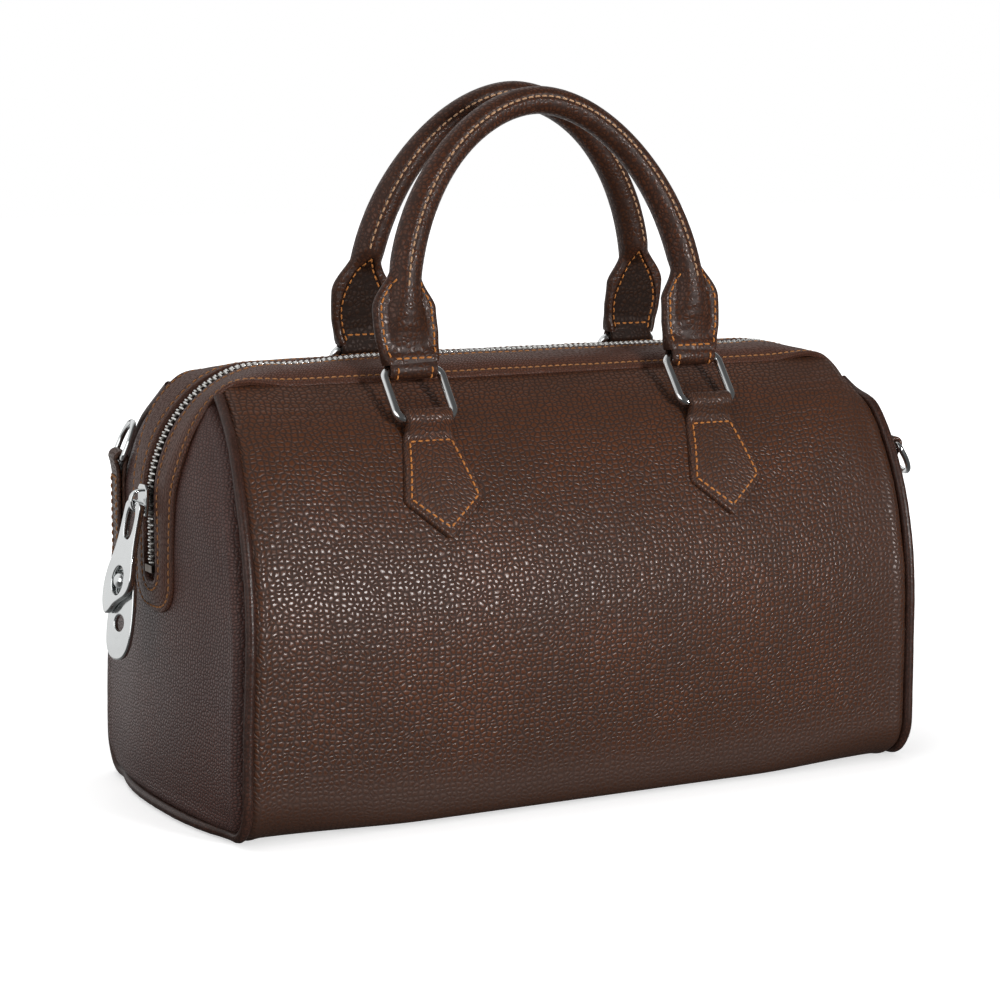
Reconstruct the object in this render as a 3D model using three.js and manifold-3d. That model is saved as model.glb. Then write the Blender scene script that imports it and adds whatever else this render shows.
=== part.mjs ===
import * as THREE from "three";
import Module from "manifold-3d";

// A zip-top leather handbag, in millimetres. X runs along the bag, Y to its back and Z up.
// The origin is on the floor, in the middle of the bottom panel.

// Body
const HALF_LENGTH = 160; // middle of the bag to the seam between the front and an end panel
const HALF_DEPTH = 75;
const SIDE_TOP = 70; // the front stands upright up to here, then leans back as an ellipse
const TOP = 183.5; // leather under the zip, at the middle of the bag
const BASE_CORNER = 18; // radius of the rounded lower edge
const PANEL = 2; // leather with its backing
const PANEL_TOP_Y = 24.5; // the panel's upper edge, hidden under the zip facing
const FRONT_BULGE = 4;
const SEAM_GAP = 2.8; // from the seam line to a panel's edge, taken up by the piping
const LEFT_SEAMS = { lean: 3.2, taper: 9 }; // how far an end's seams lean in over their height,
const RIGHT_SEAMS = { lean: 0, taper: 5 }; // and how much more at their upper ends
const TAPER_START = 80;
const END_BOW = 7.5; // an end's foot bows out from its corners
const END_ROLL = 0.8; // an end's middle is drawn in by this at the floor
const END_POWER = 2.5; // fullness of the ends seen from above
const DIP_START = 155; // the panel's upper corners sink under the zip facing above this

// Zip track, which runs over the top and down both ends
const TRACK_HALF = 115; // straight part on the top
const TRACK_RADIUS = 53; // the bend over each end
const TRACK_END_HEIGHT = 84; // lower end of the zip facing
const END_X = TRACK_HALF + TRACK_RADIUS;
const BEND_HEIGHT = TOP - TRACK_RADIUS;
const BEND_LENGTH = TRACK_RADIUS * Math.PI / 2;
const END_CROWN = 1; // how much lower the facing's outer edge lies on the ends
const CROWN_TURN = 0.6; // bend angle by which the top's crown has turned into the end's
const CORNER_LIFT = 4; // the panel corners hold the facing's outer edge up on the bend
const CORNER_LIFT_END = 1.35; // bend angle where that lift has died out

// Zip facing, tape and teeth
const FACING = 1.8;
const FACING_INNER = 5;
const FACING_OUTER = 26;
const FACING_END_OUTER = 20;
const FACING_END_DEPTH = 18;
const FACING_LIFT = 0.5;
const MOUTH_HALF = 112; // the folding part of the mouth
const CUT = 0.4; // gap between the folding part and the fixed ends
const TAPE = 0.5;
const TAPE_INNER = 1;
const TAPE_OUTER = 13;
const TOOTH_PITCH = 3.5; // half of one tooth and gap, drawn coarser than the real teeth
const TOOTH_TIP = 0.8;
const TOOTH_ROOT = 2.2;
const TOOTH_BACK = 3.6;
const TOOTH_BOTTOM = 0.5;
const TOOTH_HEIGHT = 2.4;
const TEETH_END_HEIGHT = 104;
const SLOT_HALF = 15; // slot in the end panels under the zip

// Piping, lining and base
const PIPING_RADIUS = 2.4;
const LINING = 0.8;
const LINING_INSET = 4.4;
const LINING_SEAM_GAP = 17;
const BASE_BOARD = [296, 106, 2];
const POCKET = [170, 70, 1];

// Handles, rings and handle tabs
const HANDLE_X = 68;
const RING_WIDTH = 30;
const RING_HEIGHT = 27;
const RING_WIRE = 3.5;
const RING_FOOT = [50.2, 163.4]; // distance from the middle plane and height of the lower bar
const FRONT_RING_LEAN = 0.66; // the rings lie back against the bag, radians from upright
const BACK_RING_LEAN = 0.45;
const BACK_SHIFT = 14; // the back handle is sewn on further to the right
const RING_SPAN = RING_HEIGHT - RING_WIRE;
const HANDLE_LEAN = 0.13;
const HANDLE_RADIUS = 5.9;
const HANDLE_BORE = 3.9;
const HANDLE_CORE = 3;
const HANDLE_SPREAD = 69.5;
const HANDLE_LEG = 24; // straight leg above the ring
const HANDLE_HEIGHT = 111; // ring bar to the middle of the arch
const ARCH_POWER = 1.85;
const SPADE_WIDTH = 28;
const NECK_WIDTH = 19;
const SPADE_TOP = 38;
const SPADE_THICK = 4.6;
const LOOP_OUTER = 4.3;
const LOOP_BORE = 2.5;
const TAB_LOOP_WIDTH = 21;
const TAB_WIDTH = 36.5;
const TAB_SHOULDER = 130.5;
const TAB_TIP = 116;

// Zip slider and pull
const SLIDER_LENGTH = 13;
const SLIDER_WIDTH = 9.4;
const BRIDGE = [5.1, 3, 10];
const BRIDGE_WALL = 0.9;
const PULL_PIVOT = [7.4, -1]; // out from the leather, and up from the slider's middle
const PULL_LEAN = 0.16;
const PULL_TWIST = 0.22; // the loose pull has turned a little to the front
const PULL_ROLL = 0.15; // and hangs askew, with its foot to the back
const PULL = 2.4;
const TONGUE = 2.2;
const PULL_GAP = 0.3;
const RIVET_DROP = 33;
const RIVET_RADIUS = 1.6;
const RIVET_HOLE = 1.9;

// Strap tabs and D-rings
const STRAP_Y = 47;
const STRAP_TURN = 0.2;
const STRAP_TAB = [2, 16, 44];
const LEFT_STRAP = { x: 165.2, height: 142.5, inset: 1.2 }; // loop's place, and how far the tab
const RIGHT_STRAP = { x: 167.5, height: 139.5, inset: 2.8 }; // below it is set in from its outside
const STRAP_LOOP_OUTER = 3.3;
const STRAP_LOOP_BORE = 1.8;
const D_WIDTH = 22.4;
const D_REACH = 17;
const D_WIRE = 2.6;
const LEFT_D_LEAN = 0.4; // stands up, leaning on the bag
const RIGHT_D_LEAN = 0.54; // hangs down over its tab

const wasm = await Module();
wasm.setup();

const bag = new THREE.Group();
const finishes = {
  leather: new THREE.MeshStandardMaterial({ color: 0x45291c, roughness: 0.55, metalness: 0 }),
  handle: new THREE.MeshStandardMaterial({ color: 0x3d2215, roughness: 0.4, metalness: 0 }),
  piping: new THREE.MeshStandardMaterial({ color: 0x2b1810, roughness: 0.35, metalness: 0 }),
  lining: new THREE.MeshStandardMaterial({ color: 0x8a6a4c, roughness: 0.9, metalness: 0 }),
  board: new THREE.MeshStandardMaterial({ color: 0x6f6253, roughness: 0.9, metalness: 0 }),
  rope: new THREE.MeshStandardMaterial({ color: 0xcbbf9f, roughness: 0.95, metalness: 0 }),
  tape: new THREE.MeshStandardMaterial({ color: 0x2a1c15, roughness: 0.9, metalness: 0 }),
  metal: new THREE.MeshStandardMaterial({ color: 0xd5d7da, roughness: 0.18, metalness: 1 }),
};

function addPart(name, geometry, finish, parent = bag) {
  const mesh = new THREE.Mesh(geometry, finishes[finish]);
  mesh.name = name;
  parent.add(mesh);
}

// Solids from grids and booleans

// A closed sheet: the outer face follows surface(u, v) and the sheet lies under it.
// The surface's outside is where u to the right and v upwards turn anticlockwise.
function slab(surface, columns, rows, thickness) {
  const positions = [];
  const index = [];
  const normalAt = (u, v) => {
    const step = 0.002;
    const low = [Math.max(u - step, 0), Math.max(v - step, 0)];
    const high = [Math.min(u + step, 1), Math.min(v + step, 1)];
    const along = surface(high[0], v).sub(surface(low[0], v));
    return along.cross(surface(u, high[1]).sub(surface(u, low[1]))).normalize();
  };
  for (const depth of [0, thickness]) {
    for (let j = 0; j <= rows; j += 1) {
      for (let i = 0; i <= columns; i += 1) {
        const point = surface(i / columns, j / rows);
        point.addScaledVector(normalAt(i / columns, j / rows), -depth);
        positions.push(point.x, point.y, point.z);
      }
    }
  }
  const layer = (columns + 1) * (rows + 1);
  const at = (i, j, side) => side * layer + j * (columns + 1) + i;
  const quad = (a, b, c, d) => index.push(a, b, c, a, c, d);
  for (let j = 0; j < rows; j += 1) {
    for (let i = 0; i < columns; i += 1) {
      quad(at(i, j, 0), at(i + 1, j, 0), at(i + 1, j + 1, 0), at(i, j + 1, 0));
      quad(at(i, j, 1), at(i, j + 1, 1), at(i + 1, j + 1, 1), at(i + 1, j, 1));
    }
    quad(at(0, j, 0), at(0, j + 1, 0), at(0, j + 1, 1), at(0, j, 1));
    quad(at(columns, j, 0), at(columns, j, 1), at(columns, j + 1, 1), at(columns, j + 1, 0));
  }
  for (let i = 0; i < columns; i += 1) {
    quad(at(i, 0, 0), at(i, 0, 1), at(i + 1, 0, 1), at(i + 1, 0, 0));
    quad(at(i, rows, 0), at(i + 1, rows, 0), at(i + 1, rows, 1), at(i, rows, 1));
  }
  const geometry = new THREE.BufferGeometry();
  geometry.setAttribute("position", new THREE.Float32BufferAttribute(positions, 3));
  geometry.setIndex(index);
  return geometry;
}

function toSolid(geometry) {
  const flat = geometry.index ? geometry.toNonIndexed() : geometry;
  const source = flat.getAttribute("position");
  const seen = new Map();
  const points = [];
  const corners = [];
  for (let i = 0; i < source.count; i += 1) {
    const point = [source.getX(i), source.getY(i), source.getZ(i)];
    const key = point.map((value) => Math.round(value * 1e4)).join(",");
    if (!seen.has(key)) {
      seen.set(key, points.length / 3);
      points.push(...point);
    }
    corners.push(seen.get(key));
  }
  const faces = [];
  for (let i = 0; i < corners.length; i += 3) {
    const [a, b, c] = corners.slice(i, i + 3);
    if (a !== b && b !== c && c !== a) {
      faces.push(a, b, c);
    }
  }
  const vertProperties = new Float32Array(points);
  const data = { numProp: 3, vertProperties, triVerts: new Uint32Array(faces) };
  return new wasm.Manifold(new wasm.Mesh(data));
}

function toGeometry(solid) {
  const mesh = solid.getMesh();
  const geometry = new THREE.BufferGeometry();
  geometry.setAttribute("position", new THREE.Float32BufferAttribute(mesh.vertProperties, 3));
  geometry.setIndex(new THREE.Uint32BufferAttribute(mesh.triVerts, 1));
  return geometry;
}

function combine(added, removed = []) {
  let solid = toSolid(added[0]);
  for (const geometry of added.slice(1)) {
    solid = solid.add(toSolid(geometry));
  }
  for (const geometry of removed) {
    solid = solid.subtract(toSolid(geometry));
  }
  return toGeometry(solid);
}

function box(size, centre) {
  return new THREE.BoxGeometry(...size).translate(...centre);
}

function rodAlongX(radius, length, sides = 12) {
  return new THREE.CylinderGeometry(radius, radius, length, sides).rotateZ(Math.PI / 2);
}

function rodAlongY(radius, length, sides = 12) {
  return new THREE.CylinderGeometry(radius, radius, length, sides);
}

function circleShape(radius, sides) {
  const points = [];
  for (let i = 0; i < sides; i += 1) {
    const angle = (i + 0.5) * 2 * Math.PI / sides;
    points.push(new THREE.Vector2(radius * Math.cos(angle), radius * Math.sin(angle)));
  }
  return new THREE.Shape(points);
}

function sweep(shape, curve, steps) {
  return new THREE.ExtrudeGeometry(shape, { steps, extrudePath: curve, bevelEnabled: false });
}

function smooth(low, high, value) {
  return THREE.MathUtils.smoothstep(value, low, high);
}

// The zip track and the leather's crown across it

// A point of the track's surface: along runs from the middle of the bag, positive to the right,
// across is the distance from the middle plane and out the height above the leather.
function onTrack(along, across, out) {
  const side = Math.sign(along) || 1;
  const past = Math.abs(along) - TRACK_HALF;
  const angle = THREE.MathUtils.clamp(past / TRACK_RADIUS, 0, Math.PI / 2);
  const height = out - crown(along, across);
  const reach = TRACK_RADIUS + height;
  const down = Math.max(past - BEND_LENGTH, 0);
  const x = past < 0 ? along : side * (TRACK_HALF + reach * Math.sin(angle));
  return new THREE.Vector3(x, across, BEND_HEIGHT + reach * Math.cos(angle) - down);
}

function archHeight(y) {
  return SIDE_TOP + (TOP - SIDE_TOP) * Math.sqrt(1 - (y / HALF_DEPTH) ** 2);
}

function crown(along, across) {
  const angle = (Math.abs(along) - TRACK_HALF) / TRACK_RADIUS;
  const turned = smooth(0, CROWN_TURN, angle);
  const lifted = turned * (1 - smooth(CROWN_TURN, CORNER_LIFT_END, angle));
  const onTop = TOP - archHeight(across);
  const onEnd = (END_CROWN - CORNER_LIFT * lifted) * (across / FACING_OUTER) ** 2;
  return onTop + (onEnd - onTop) * turned;
}

// Panels

// The front's outline seen from an end, from the bottom seam to the hidden upper edge.
const section = new THREE.Path();
section.moveTo(BASE_CORNER - HALF_DEPTH, 0);
section.absarc(BASE_CORNER - HALF_DEPTH, BASE_CORNER, BASE_CORNER, -Math.PI / 2, -Math.PI, true);
section.lineTo(-HALF_DEPTH, SIDE_TOP);
const archEnd = Math.PI - Math.acos(PANEL_TOP_Y / HALF_DEPTH);
section.absellipse(0, SIDE_TOP, HALF_DEPTH, TOP - SIDE_TOP, Math.PI, archEnd, true);

function sectionAtHeight(height) {
  let low = 0;
  let high = 1;
  for (let i = 0; i < 40; i += 1) {
    const middle = (low + high) / 2;
    if (section.getPointAt(middle).y < height) {
      low = middle;
    } else {
      high = middle;
    }
  }
  return (low + high) / 2;
}

function seamX(height, seams) {
  const rise = Math.max(height - TAPER_START, 0) / (TOP - TAPER_START);
  return HALF_LENGTH - seams.lean * smooth(20, 120, height) - seams.taper * rise ** 3;
}

// How far the leather sinks under the facing where the zip track bends down at the ends.
function cornerDip(x, height) {
  const past = Math.min(Math.max(Math.abs(x) - TRACK_HALF, 0), TRACK_RADIUS - 8);
  let angle = Math.asin(past / TRACK_RADIUS);
  for (let i = 0; i < 4; i += 1) {
    const reach = TRACK_RADIUS - crown(TRACK_HALF + TRACK_RADIUS * angle, FACING_OUTER);
    angle = Math.asin(past / reach);
  }
  const facingFoot = onTrack(TRACK_HALF + TRACK_RADIUS * angle, FACING_OUTER, -1.1).z;
  const fall = Math.max(archHeight(FACING_OUTER) - facingFoot, 0);
  return fall * smooth(DIP_START, archHeight(FACING_OUTER), height);
}

function frontPoint(x, v) {
  const flat = section.getPointAt(v);
  const tangent = section.getTangentAt(v);
  const across = 1 - (x / HALF_LENGTH) ** 2;
  const upwards = smooth(4, 70, flat.y) * (1 - smooth(80, 170, flat.y));
  const bulge = FRONT_BULGE * across * upwards;
  return new THREE.Vector3(
    x,
    flat.x - tangent.y * bulge,
    flat.y + tangent.x * bulge - cornerDip(x, flat.y),
  );
}

function frontSurface(gap) {
  return (u, v) => {
    const height = section.getPointAt(v).y;
    const left = gap - seamX(height, LEFT_SEAMS);
    const right = seamX(height, RIGHT_SEAMS) - gap;
    return frontPoint(left + (right - left) * u, v);
  };
}

// The same surface at the back, seen from outside the bag there.
function backOf(surface) {
  return (u, v) => surface(1 - u, v).multiply(new THREE.Vector3(1, -1, 1));
}

function seamPoint(v, seams) {
  return frontPoint(-seamX(section.getPointAt(v).y, seams), v);
}

function endMiddleX(height) {
  const roll = END_ROLL * Math.max(1 - height / 60, 0) ** 2;
  const above = Math.max(height - BEND_HEIGHT, 0);
  const inset = 2 * smooth(BEND_HEIGHT, BEND_HEIGHT + 12, height);
  const reach = Math.sqrt(Math.max((TRACK_RADIUS - inset) ** 2 - above ** 2, 0));
  return TRACK_HALF + Math.max(reach, 12) - roll;
}

// The left end panel between the two seams, from its lower edge up to under the facing.
const END_LOW = sectionAtHeight(6);
const END_HIGH = sectionAtHeight(176);

function leftEndSurface(gap, seams) {
  return (u, v) => {
    const place = END_LOW + (END_HIGH - END_LOW) * v;
    const seam = seamPoint(place, seams);
    const tangent = section.getTangentAt(place);
    const halfWidth = -seam.y - gap * tangent.y;
    const height = seam.z - gap * tangent.x;
    const across = 1 - 2 * u;
    const bulge = endMiddleX(height) + seam.x;
    const x = seam.x - bulge * (1 - Math.abs(across) ** END_POWER);
    return new THREE.Vector3(x, across * halfWidth, height);
  };
}

function inset(surface, distance) {
  return (u, v) => {
    const step = 0.002;
    const low = [Math.max(u - step, 0), Math.max(v - step, 0)];
    const high = [Math.min(u + step, 1), Math.min(v + step, 1)];
    const along = surface(high[0], v).sub(surface(low[0], v));
    const normal = along.cross(surface(u, high[1]).sub(surface(u, low[1]))).normalize();
    return surface(u, v).addScaledVector(normal, -distance);
  };
}

// Turning the bag half round about Z swaps front with back and left with right.
function halfTurn(geometry) {
  return geometry.clone().rotateZ(Math.PI);
}

addPart("front_panel", slab(frontSurface(SEAM_GAP), 14, 13, PANEL), "leather");
addPart("back_panel", slab(backOf(frontSurface(SEAM_GAP)), 14, 13, PANEL), "leather");

function bottomOutline() {
  const x = HALF_LENGTH - SEAM_GAP;
  const y = HALF_DEPTH - BASE_CORNER - CUT;
  const bow = x + 2 * END_BOW;
  const shape = new THREE.Shape();
  shape.moveTo(-x, -y);
  shape.lineTo(x, -y);
  shape.quadraticCurveTo(bow, 0, x, y);
  shape.lineTo(-x, y);
  shape.quadraticCurveTo(-bow, 0, -x, -y);
  return shape;
}

const bottomOptions = { depth: PANEL, bevelEnabled: false, curveSegments: 8 };
addPart("bottom_panel", new THREE.ExtrudeGeometry(bottomOutline(), bottomOptions), "leather");

// The end panels and their lining are slotted where the zip runs down.
const slotFoot = TRACK_END_HEIGHT + 10;
const zipSlot = box([80, 2 * SLOT_HALF, 140], [-END_X + 10, 0, slotFoot + 70]);

// An end panel drawn at the left, for either end's seams.
function endPanel(seams) {
  return combine([slab(leftEndSurface(SEAM_GAP + 0.8, seams), 8, 14, PANEL)], [zipSlot]);
}

addPart("left_end_panel", endPanel(LEFT_SEAMS), "leather");
addPart("right_end_panel", halfTurn(endPanel(RIGHT_SEAMS)), "leather");

function pipingCurve(seams) {
  const points = [];
  const count = 14;
  const start = sectionAtHeight(archHeight(FACING_OUTER + 6));
  for (let i = 0; i <= count; i += 1) {
    const point = seamPoint(start * (1 - i / count), seams);
    point.z = Math.max(point.z, PIPING_RADIUS + 0.3);
    points.push(point);
  }
  const mirrored = points.map((point) => new THREE.Vector3(point.x, -point.y, point.z)).reverse();
  const foot = points[count];
  const across = [-0.8, -0.4, 0, 0.4, 0.8].map((share) => {
    const bow = END_BOW * (1 - Math.abs(share) ** END_POWER);
    return new THREE.Vector3(foot.x - bow, -share * foot.y, foot.z);
  });
  return new THREE.CatmullRomCurve3([...points, ...across, ...mirrored]);
}

function piping(seams) {
  return sweep(circleShape(PIPING_RADIUS, 6), pipingCurve(seams), 44);
}

addPart("left_piping", piping(LEFT_SEAMS), "piping");
addPart("right_piping", halfTurn(piping(RIGHT_SEAMS)), "piping");

// Lining, base board and pocket
const liningSurface = frontSurface(LINING_SEAM_GAP);
addPart("front_lining", slab(inset(liningSurface, LINING_INSET), 6, 11, LINING), "lining");
addPart("back_lining", slab(inset(backOf(liningSurface), LINING_INSET), 6, 11, LINING), "lining");

function endLining(seams) {
  const sheet = slab(inset(leftEndSurface(LINING_SEAM_GAP, seams), LINING_INSET), 6, 10, LINING);
  return combine([sheet], [zipSlot]);
}

addPart("left_end_lining", endLining(LEFT_SEAMS), "lining");
addPart("right_end_lining", halfTurn(endLining(RIGHT_SEAMS)), "lining");
const boardHeight = PANEL + 0.4 + BASE_BOARD[2] / 2;
addPart("base_board", box(BASE_BOARD, [0, 0, boardHeight]), "board");
const bottomLiningSize = [BASE_BOARD[0] - 2, BASE_BOARD[1], LINING];
addPart("bottom_lining", box(bottomLiningSize, [0, 0, boardHeight + 1.8]), "lining");
const pocketY = HALF_DEPTH - 7;
addPart("slip_pocket", box([POCKET[0], POCKET[2], POCKET[1]], [0, pocketY, 24 + POCKET[1] / 2]), "lining");

// Zip facings, tapes and teeth

// One half of the folding mouth: the sign is -1 for the front and 1 for the back.
function trackBand(sign, from, to, inner, outer, out) {
  return (u, v) => {
    const along = sign < 0 ? from + (to - from) * u : to + (from - to) * u;
    return onTrack(along, sign * (outer + (inner - outer) * v), out);
  };
}

// A facing that runs down both sides of the zip on the left end and round its foot.
function endFacing(u, v) {
  const side = 2 * v - 1;
  const up = Math.abs(side);
  const foot = TRACK_HALF + BEND_LENGTH + BEND_HEIGHT - TRACK_END_HEIGHT - FACING_END_DEPTH;
  const straight = 0.75;
  let down = foot;
  let inner = FACING_INNER;
  let outer = FACING_END_OUTER;
  let innerDown = 0;
  let outerDown = 0;
  if (up > 1 - straight) {
    const share = (up - 1 + straight) / straight;
    down = foot + (MOUTH_HALF + CUT - foot) * share;
    outer = FACING_END_OUTER + (FACING_OUTER - FACING_END_OUTER) * smooth(0, 0.6, share);
  } else {
    const angle = up / (1 - straight) * Math.PI / 2;
    inner = FACING_INNER * Math.sin(angle);
    innerDown = FACING_INNER * Math.cos(angle);
    outer = FACING_END_OUTER * Math.sin(angle) ** 0.75;
    outerDown = FACING_END_DEPTH * Math.cos(angle) ** 0.75;
  }
  const along = down + outerDown + (innerDown - outerDown) * u;
  return onTrack(-along, Math.sign(side) * (outer + (inner - outer) * u), FACING_LIFT + FACING);
}

const leftFacing = slab(endFacing, 3, 40, FACING);
addPart("left_zip_facing", leftFacing, "leather");
addPart("right_zip_facing", halfTurn(leftFacing), "leather");

const teethEnd = TRACK_HALF + BEND_LENGTH + BEND_HEIGHT - TEETH_END_HEIGHT;

// A row of teeth on one side of the zip, as a toothed bar along the track.
function teethRow(sign, from, to) {
  const count = 2 * Math.round((to - from) / TOOTH_PITCH / 2);
  const edge = (u) => {
    const place = u * count;
    const toRoot = Math.abs(place - 2 * Math.round(place / 2));
    return TOOTH_TIP + (TOOTH_ROOT - TOOTH_TIP) * toRoot;
  };
  const surface = (u, v) => {
    const along = sign < 0 ? from + (to - from) * u : to + (from - to) * u;
    return onTrack(along, sign * (TOOTH_BACK + (edge(u) - TOOTH_BACK) * v), TOOTH_BOTTOM + TOOTH_HEIGHT);
  };
  return slab(surface, count, 1, TOOTH_HEIGHT);
}

const sides = [["front", -1], ["back", 1]];
const tapeOut = 0;
for (const [side, sign] of sides) {
  const facing = trackBand(sign, -MOUTH_HALF, MOUTH_HALF, FACING_INNER, FACING_OUTER, FACING_LIFT + FACING);
  addPart(`${side}_zip_facing`, slab(facing, 1, 5, FACING), "leather");
  const tape = trackBand(sign, -MOUTH_HALF, MOUTH_HALF, TAPE_INNER, TAPE_OUTER, tapeOut);
  addPart(`${side}_zip_tape`, slab(tape, 1, 3, TAPE), "tape");
  addPart(`${side}_zip_teeth`, teethRow(sign, -MOUTH_HALF, MOUTH_HALF), "metal");
  const low = -teethEnd - 6;
  const high = -MOUTH_HALF - CUT;
  const endTape = slab(trackBand(sign, low, high, TAPE_INNER, TAPE_OUTER, tapeOut), 18, 2, TAPE);
  addPart(`left_zip_tape_${side}`, endTape, "tape");
  addPart(`right_zip_tape_${side === "front" ? "back" : "front"}`, halfTurn(endTape), "tape");
  const endTeeth = teethRow(sign, -teethEnd, high);
  addPart(`left_zip_teeth_${side}`, endTeeth, "metal");
  addPart(`right_zip_teeth_${side === "front" ? "back" : "front"}`, halfTurn(endTeeth), "metal");
}

const stop = box([2.4, 7.2, 3], [-END_X - 1.7, 0, TEETH_END_HEIGHT - 2]);
addPart("left_zip_stop", stop, "metal");
addPart("right_zip_stop", halfTurn(stop), "metal");

// Rings, handle tabs and handles

// A flat ring with bevelled edges, drawn in X and Z and centred on Y.
function bevelledRing(outline, hole, wire) {
  const bevel = wire * 0.26;
  outline.holes.push(hole);
  const options = {
    depth: wire - 2 * bevel,
    bevelThickness: bevel,
    bevelSize: bevel,
    bevelOffset: -bevel,
    bevelSegments: 1,
    curveSegments: 3,
  };
  const ring = new THREE.ExtrudeGeometry(outline, options);
  return ring.translate(0, 0, bevel - wire / 2).rotateX(Math.PI / 2);
}

function roundedRectangle(width, height, middle, radius, kind) {
  const path = new kind();
  const left = -width / 2;
  const foot = middle - height / 2;
  const right = width / 2;
  const head = middle + height / 2;
  path.moveTo(left + radius, foot);
  path.lineTo(right - radius, foot);
  path.absarc(right - radius, foot + radius, radius, -Math.PI / 2, 0, false);
  path.lineTo(right, head - radius);
  path.absarc(right - radius, head - radius, radius, 0, Math.PI / 2, false);
  path.lineTo(left + radius, head);
  path.absarc(left + radius, head - radius, radius, Math.PI / 2, Math.PI, false);
  path.lineTo(left, foot + radius);
  path.absarc(left + radius, foot + radius, radius, Math.PI, Math.PI * 1.5, false);
  return path;
}

// The ring's lower bar lies on the local X axis.
function handleRing() {
  const outer = roundedRectangle(RING_WIDTH, RING_HEIGHT, RING_SPAN / 2, 5, THREE.Shape);
  const width = RING_WIDTH - 2 * RING_WIRE;
  const inner = roundedRectangle(width, RING_HEIGHT - 2 * RING_WIRE, RING_SPAN / 2, 2, THREE.Path);
  return bevelledRing(outer, inner, RING_WIRE);
}

function tabSurface(x) {
  const top = sectionAtHeight(162.5);
  const shoulder = sectionAtHeight(TAB_SHOULDER);
  const tip = sectionAtHeight(TAB_TIP);
  const shoulderShare = (shoulder - tip) / (top - tip);
  return (u, v) => {
    const neck = TAB_LOOP_WIDTH / 2;
    const half = v < shoulderShare
      ? 1.2 + (TAB_WIDTH / 2 - 1.2) * v / shoulderShare
      : neck + (TAB_WIDTH / 2 - neck) * ((1 - v) / (1 - shoulderShare)) ** 0.8;
    return frontPoint(x + (2 * u - 1) * half, tip + (top - tip) * v);
  };
}

function handleTab(x) {
  const plate = slab(inset(tabSurface(x), -2.6), 4, 9, 2);
  const loop = rodAlongX(LOOP_OUTER, TAB_LOOP_WIDTH).translate(x, -RING_FOOT[0], RING_FOOT[1]);
  const bore = rodAlongX(LOOP_BORE, TAB_LOOP_WIDTH + 20).translate(x, -RING_FOOT[0], RING_FOOT[1]);
  return combine([plate, loop], [bore]);
}

// The handle's middle line, from the left ring over the arch to the right ring.
class HandleLine extends THREE.Curve {
  constructor(start) {
    super();
    this.start = start;
  }

  getPoint(t, target = new THREE.Vector3()) {
    const legs = HANDLE_LEG - this.start;
    const total = 2 * legs + 220;
    const along = t * total;
    const fromRight = total - along;
    if (along < legs) {
      return target.set(-HANDLE_SPREAD, 0, this.start + along);
    }
    if (fromRight < legs) {
      return target.set(HANDLE_SPREAD, 0, this.start + fromRight);
    }
    const angle = Math.PI * (1 - (along - legs) / 220);
    const power = 2 / ARCH_POWER;
    const x = Math.sign(Math.cos(angle)) * HANDLE_SPREAD * Math.abs(Math.cos(angle)) ** power;
    const rise = (HANDLE_HEIGHT - HANDLE_LEG) * Math.sin(angle) ** power;
    return target.set(x, 0, HANDLE_LEG + rise);
  }
}

function spadeShape(x) {
  const neck = NECK_WIDTH / 2;
  const wide = SPADE_WIDTH / 2;
  const shape = new THREE.Shape();
  shape.moveTo(x - neck, 0);
  shape.lineTo(x + neck, 0);
  shape.lineTo(x + neck, 4);
  shape.quadraticCurveTo(x + wide, 6, x + wide, 15);
  shape.quadraticCurveTo(x + wide, 26, x + HANDLE_RADIUS, SPADE_TOP);
  shape.lineTo(x - HANDLE_RADIUS, SPADE_TOP);
  shape.quadraticCurveTo(x - wide, 26, x - wide, 15);
  shape.quadraticCurveTo(x - wide, 6, x - neck, 4);
  return shape;
}

// Bore for the core, with the narrow slit where the rolled leather's edges meet inside the arch.
function boreShape() {
  const points = [];
  const count = 6;
  const slit = 0.3;
  for (let i = 0; i <= count; i += 1) {
    const angle = Math.PI / 2 + 0.08 + (2 * Math.PI - 0.16) * i / count;
    points.push(new THREE.Vector2(HANDLE_BORE * Math.cos(angle), HANDLE_BORE * Math.sin(angle)));
  }
  points.push(new THREE.Vector2(slit, HANDLE_RADIUS + 2), new THREE.Vector2(-slit, HANDLE_RADIUS + 2));
  return new THREE.Shape(points);
}

function handleCover() {
  const tube = sweep(circleShape(HANDLE_RADIUS, 8), new HandleLine(14), 30);
  const bore = sweep(boreShape(), new HandleLine(SPADE_TOP - 15), 26);
  const added = [tube];
  const removed = [bore];
  for (const x of [-HANDLE_X, HANDLE_X]) {
    const options = { depth: SPADE_THICK, bevelEnabled: false, curveSegments: 6 };
    const plate = new THREE.ExtrudeGeometry(spadeShape(x), options);
    added.push(plate.translate(0, 0, -SPADE_THICK / 2).rotateX(Math.PI / 2));
    added.push(rodAlongX(LOOP_OUTER, NECK_WIDTH).translate(x, 0, 0));
    removed.push(rodAlongX(LOOP_BORE, NECK_WIDTH + 10).translate(x, 0, 0));
  }
  return combine(added, removed);
}

const ring = handleRing();
const cover = handleCover();
const core = sweep(circleShape(HANDLE_CORE, 6), new HandleLine(SPADE_TOP - 14), 26);

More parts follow.
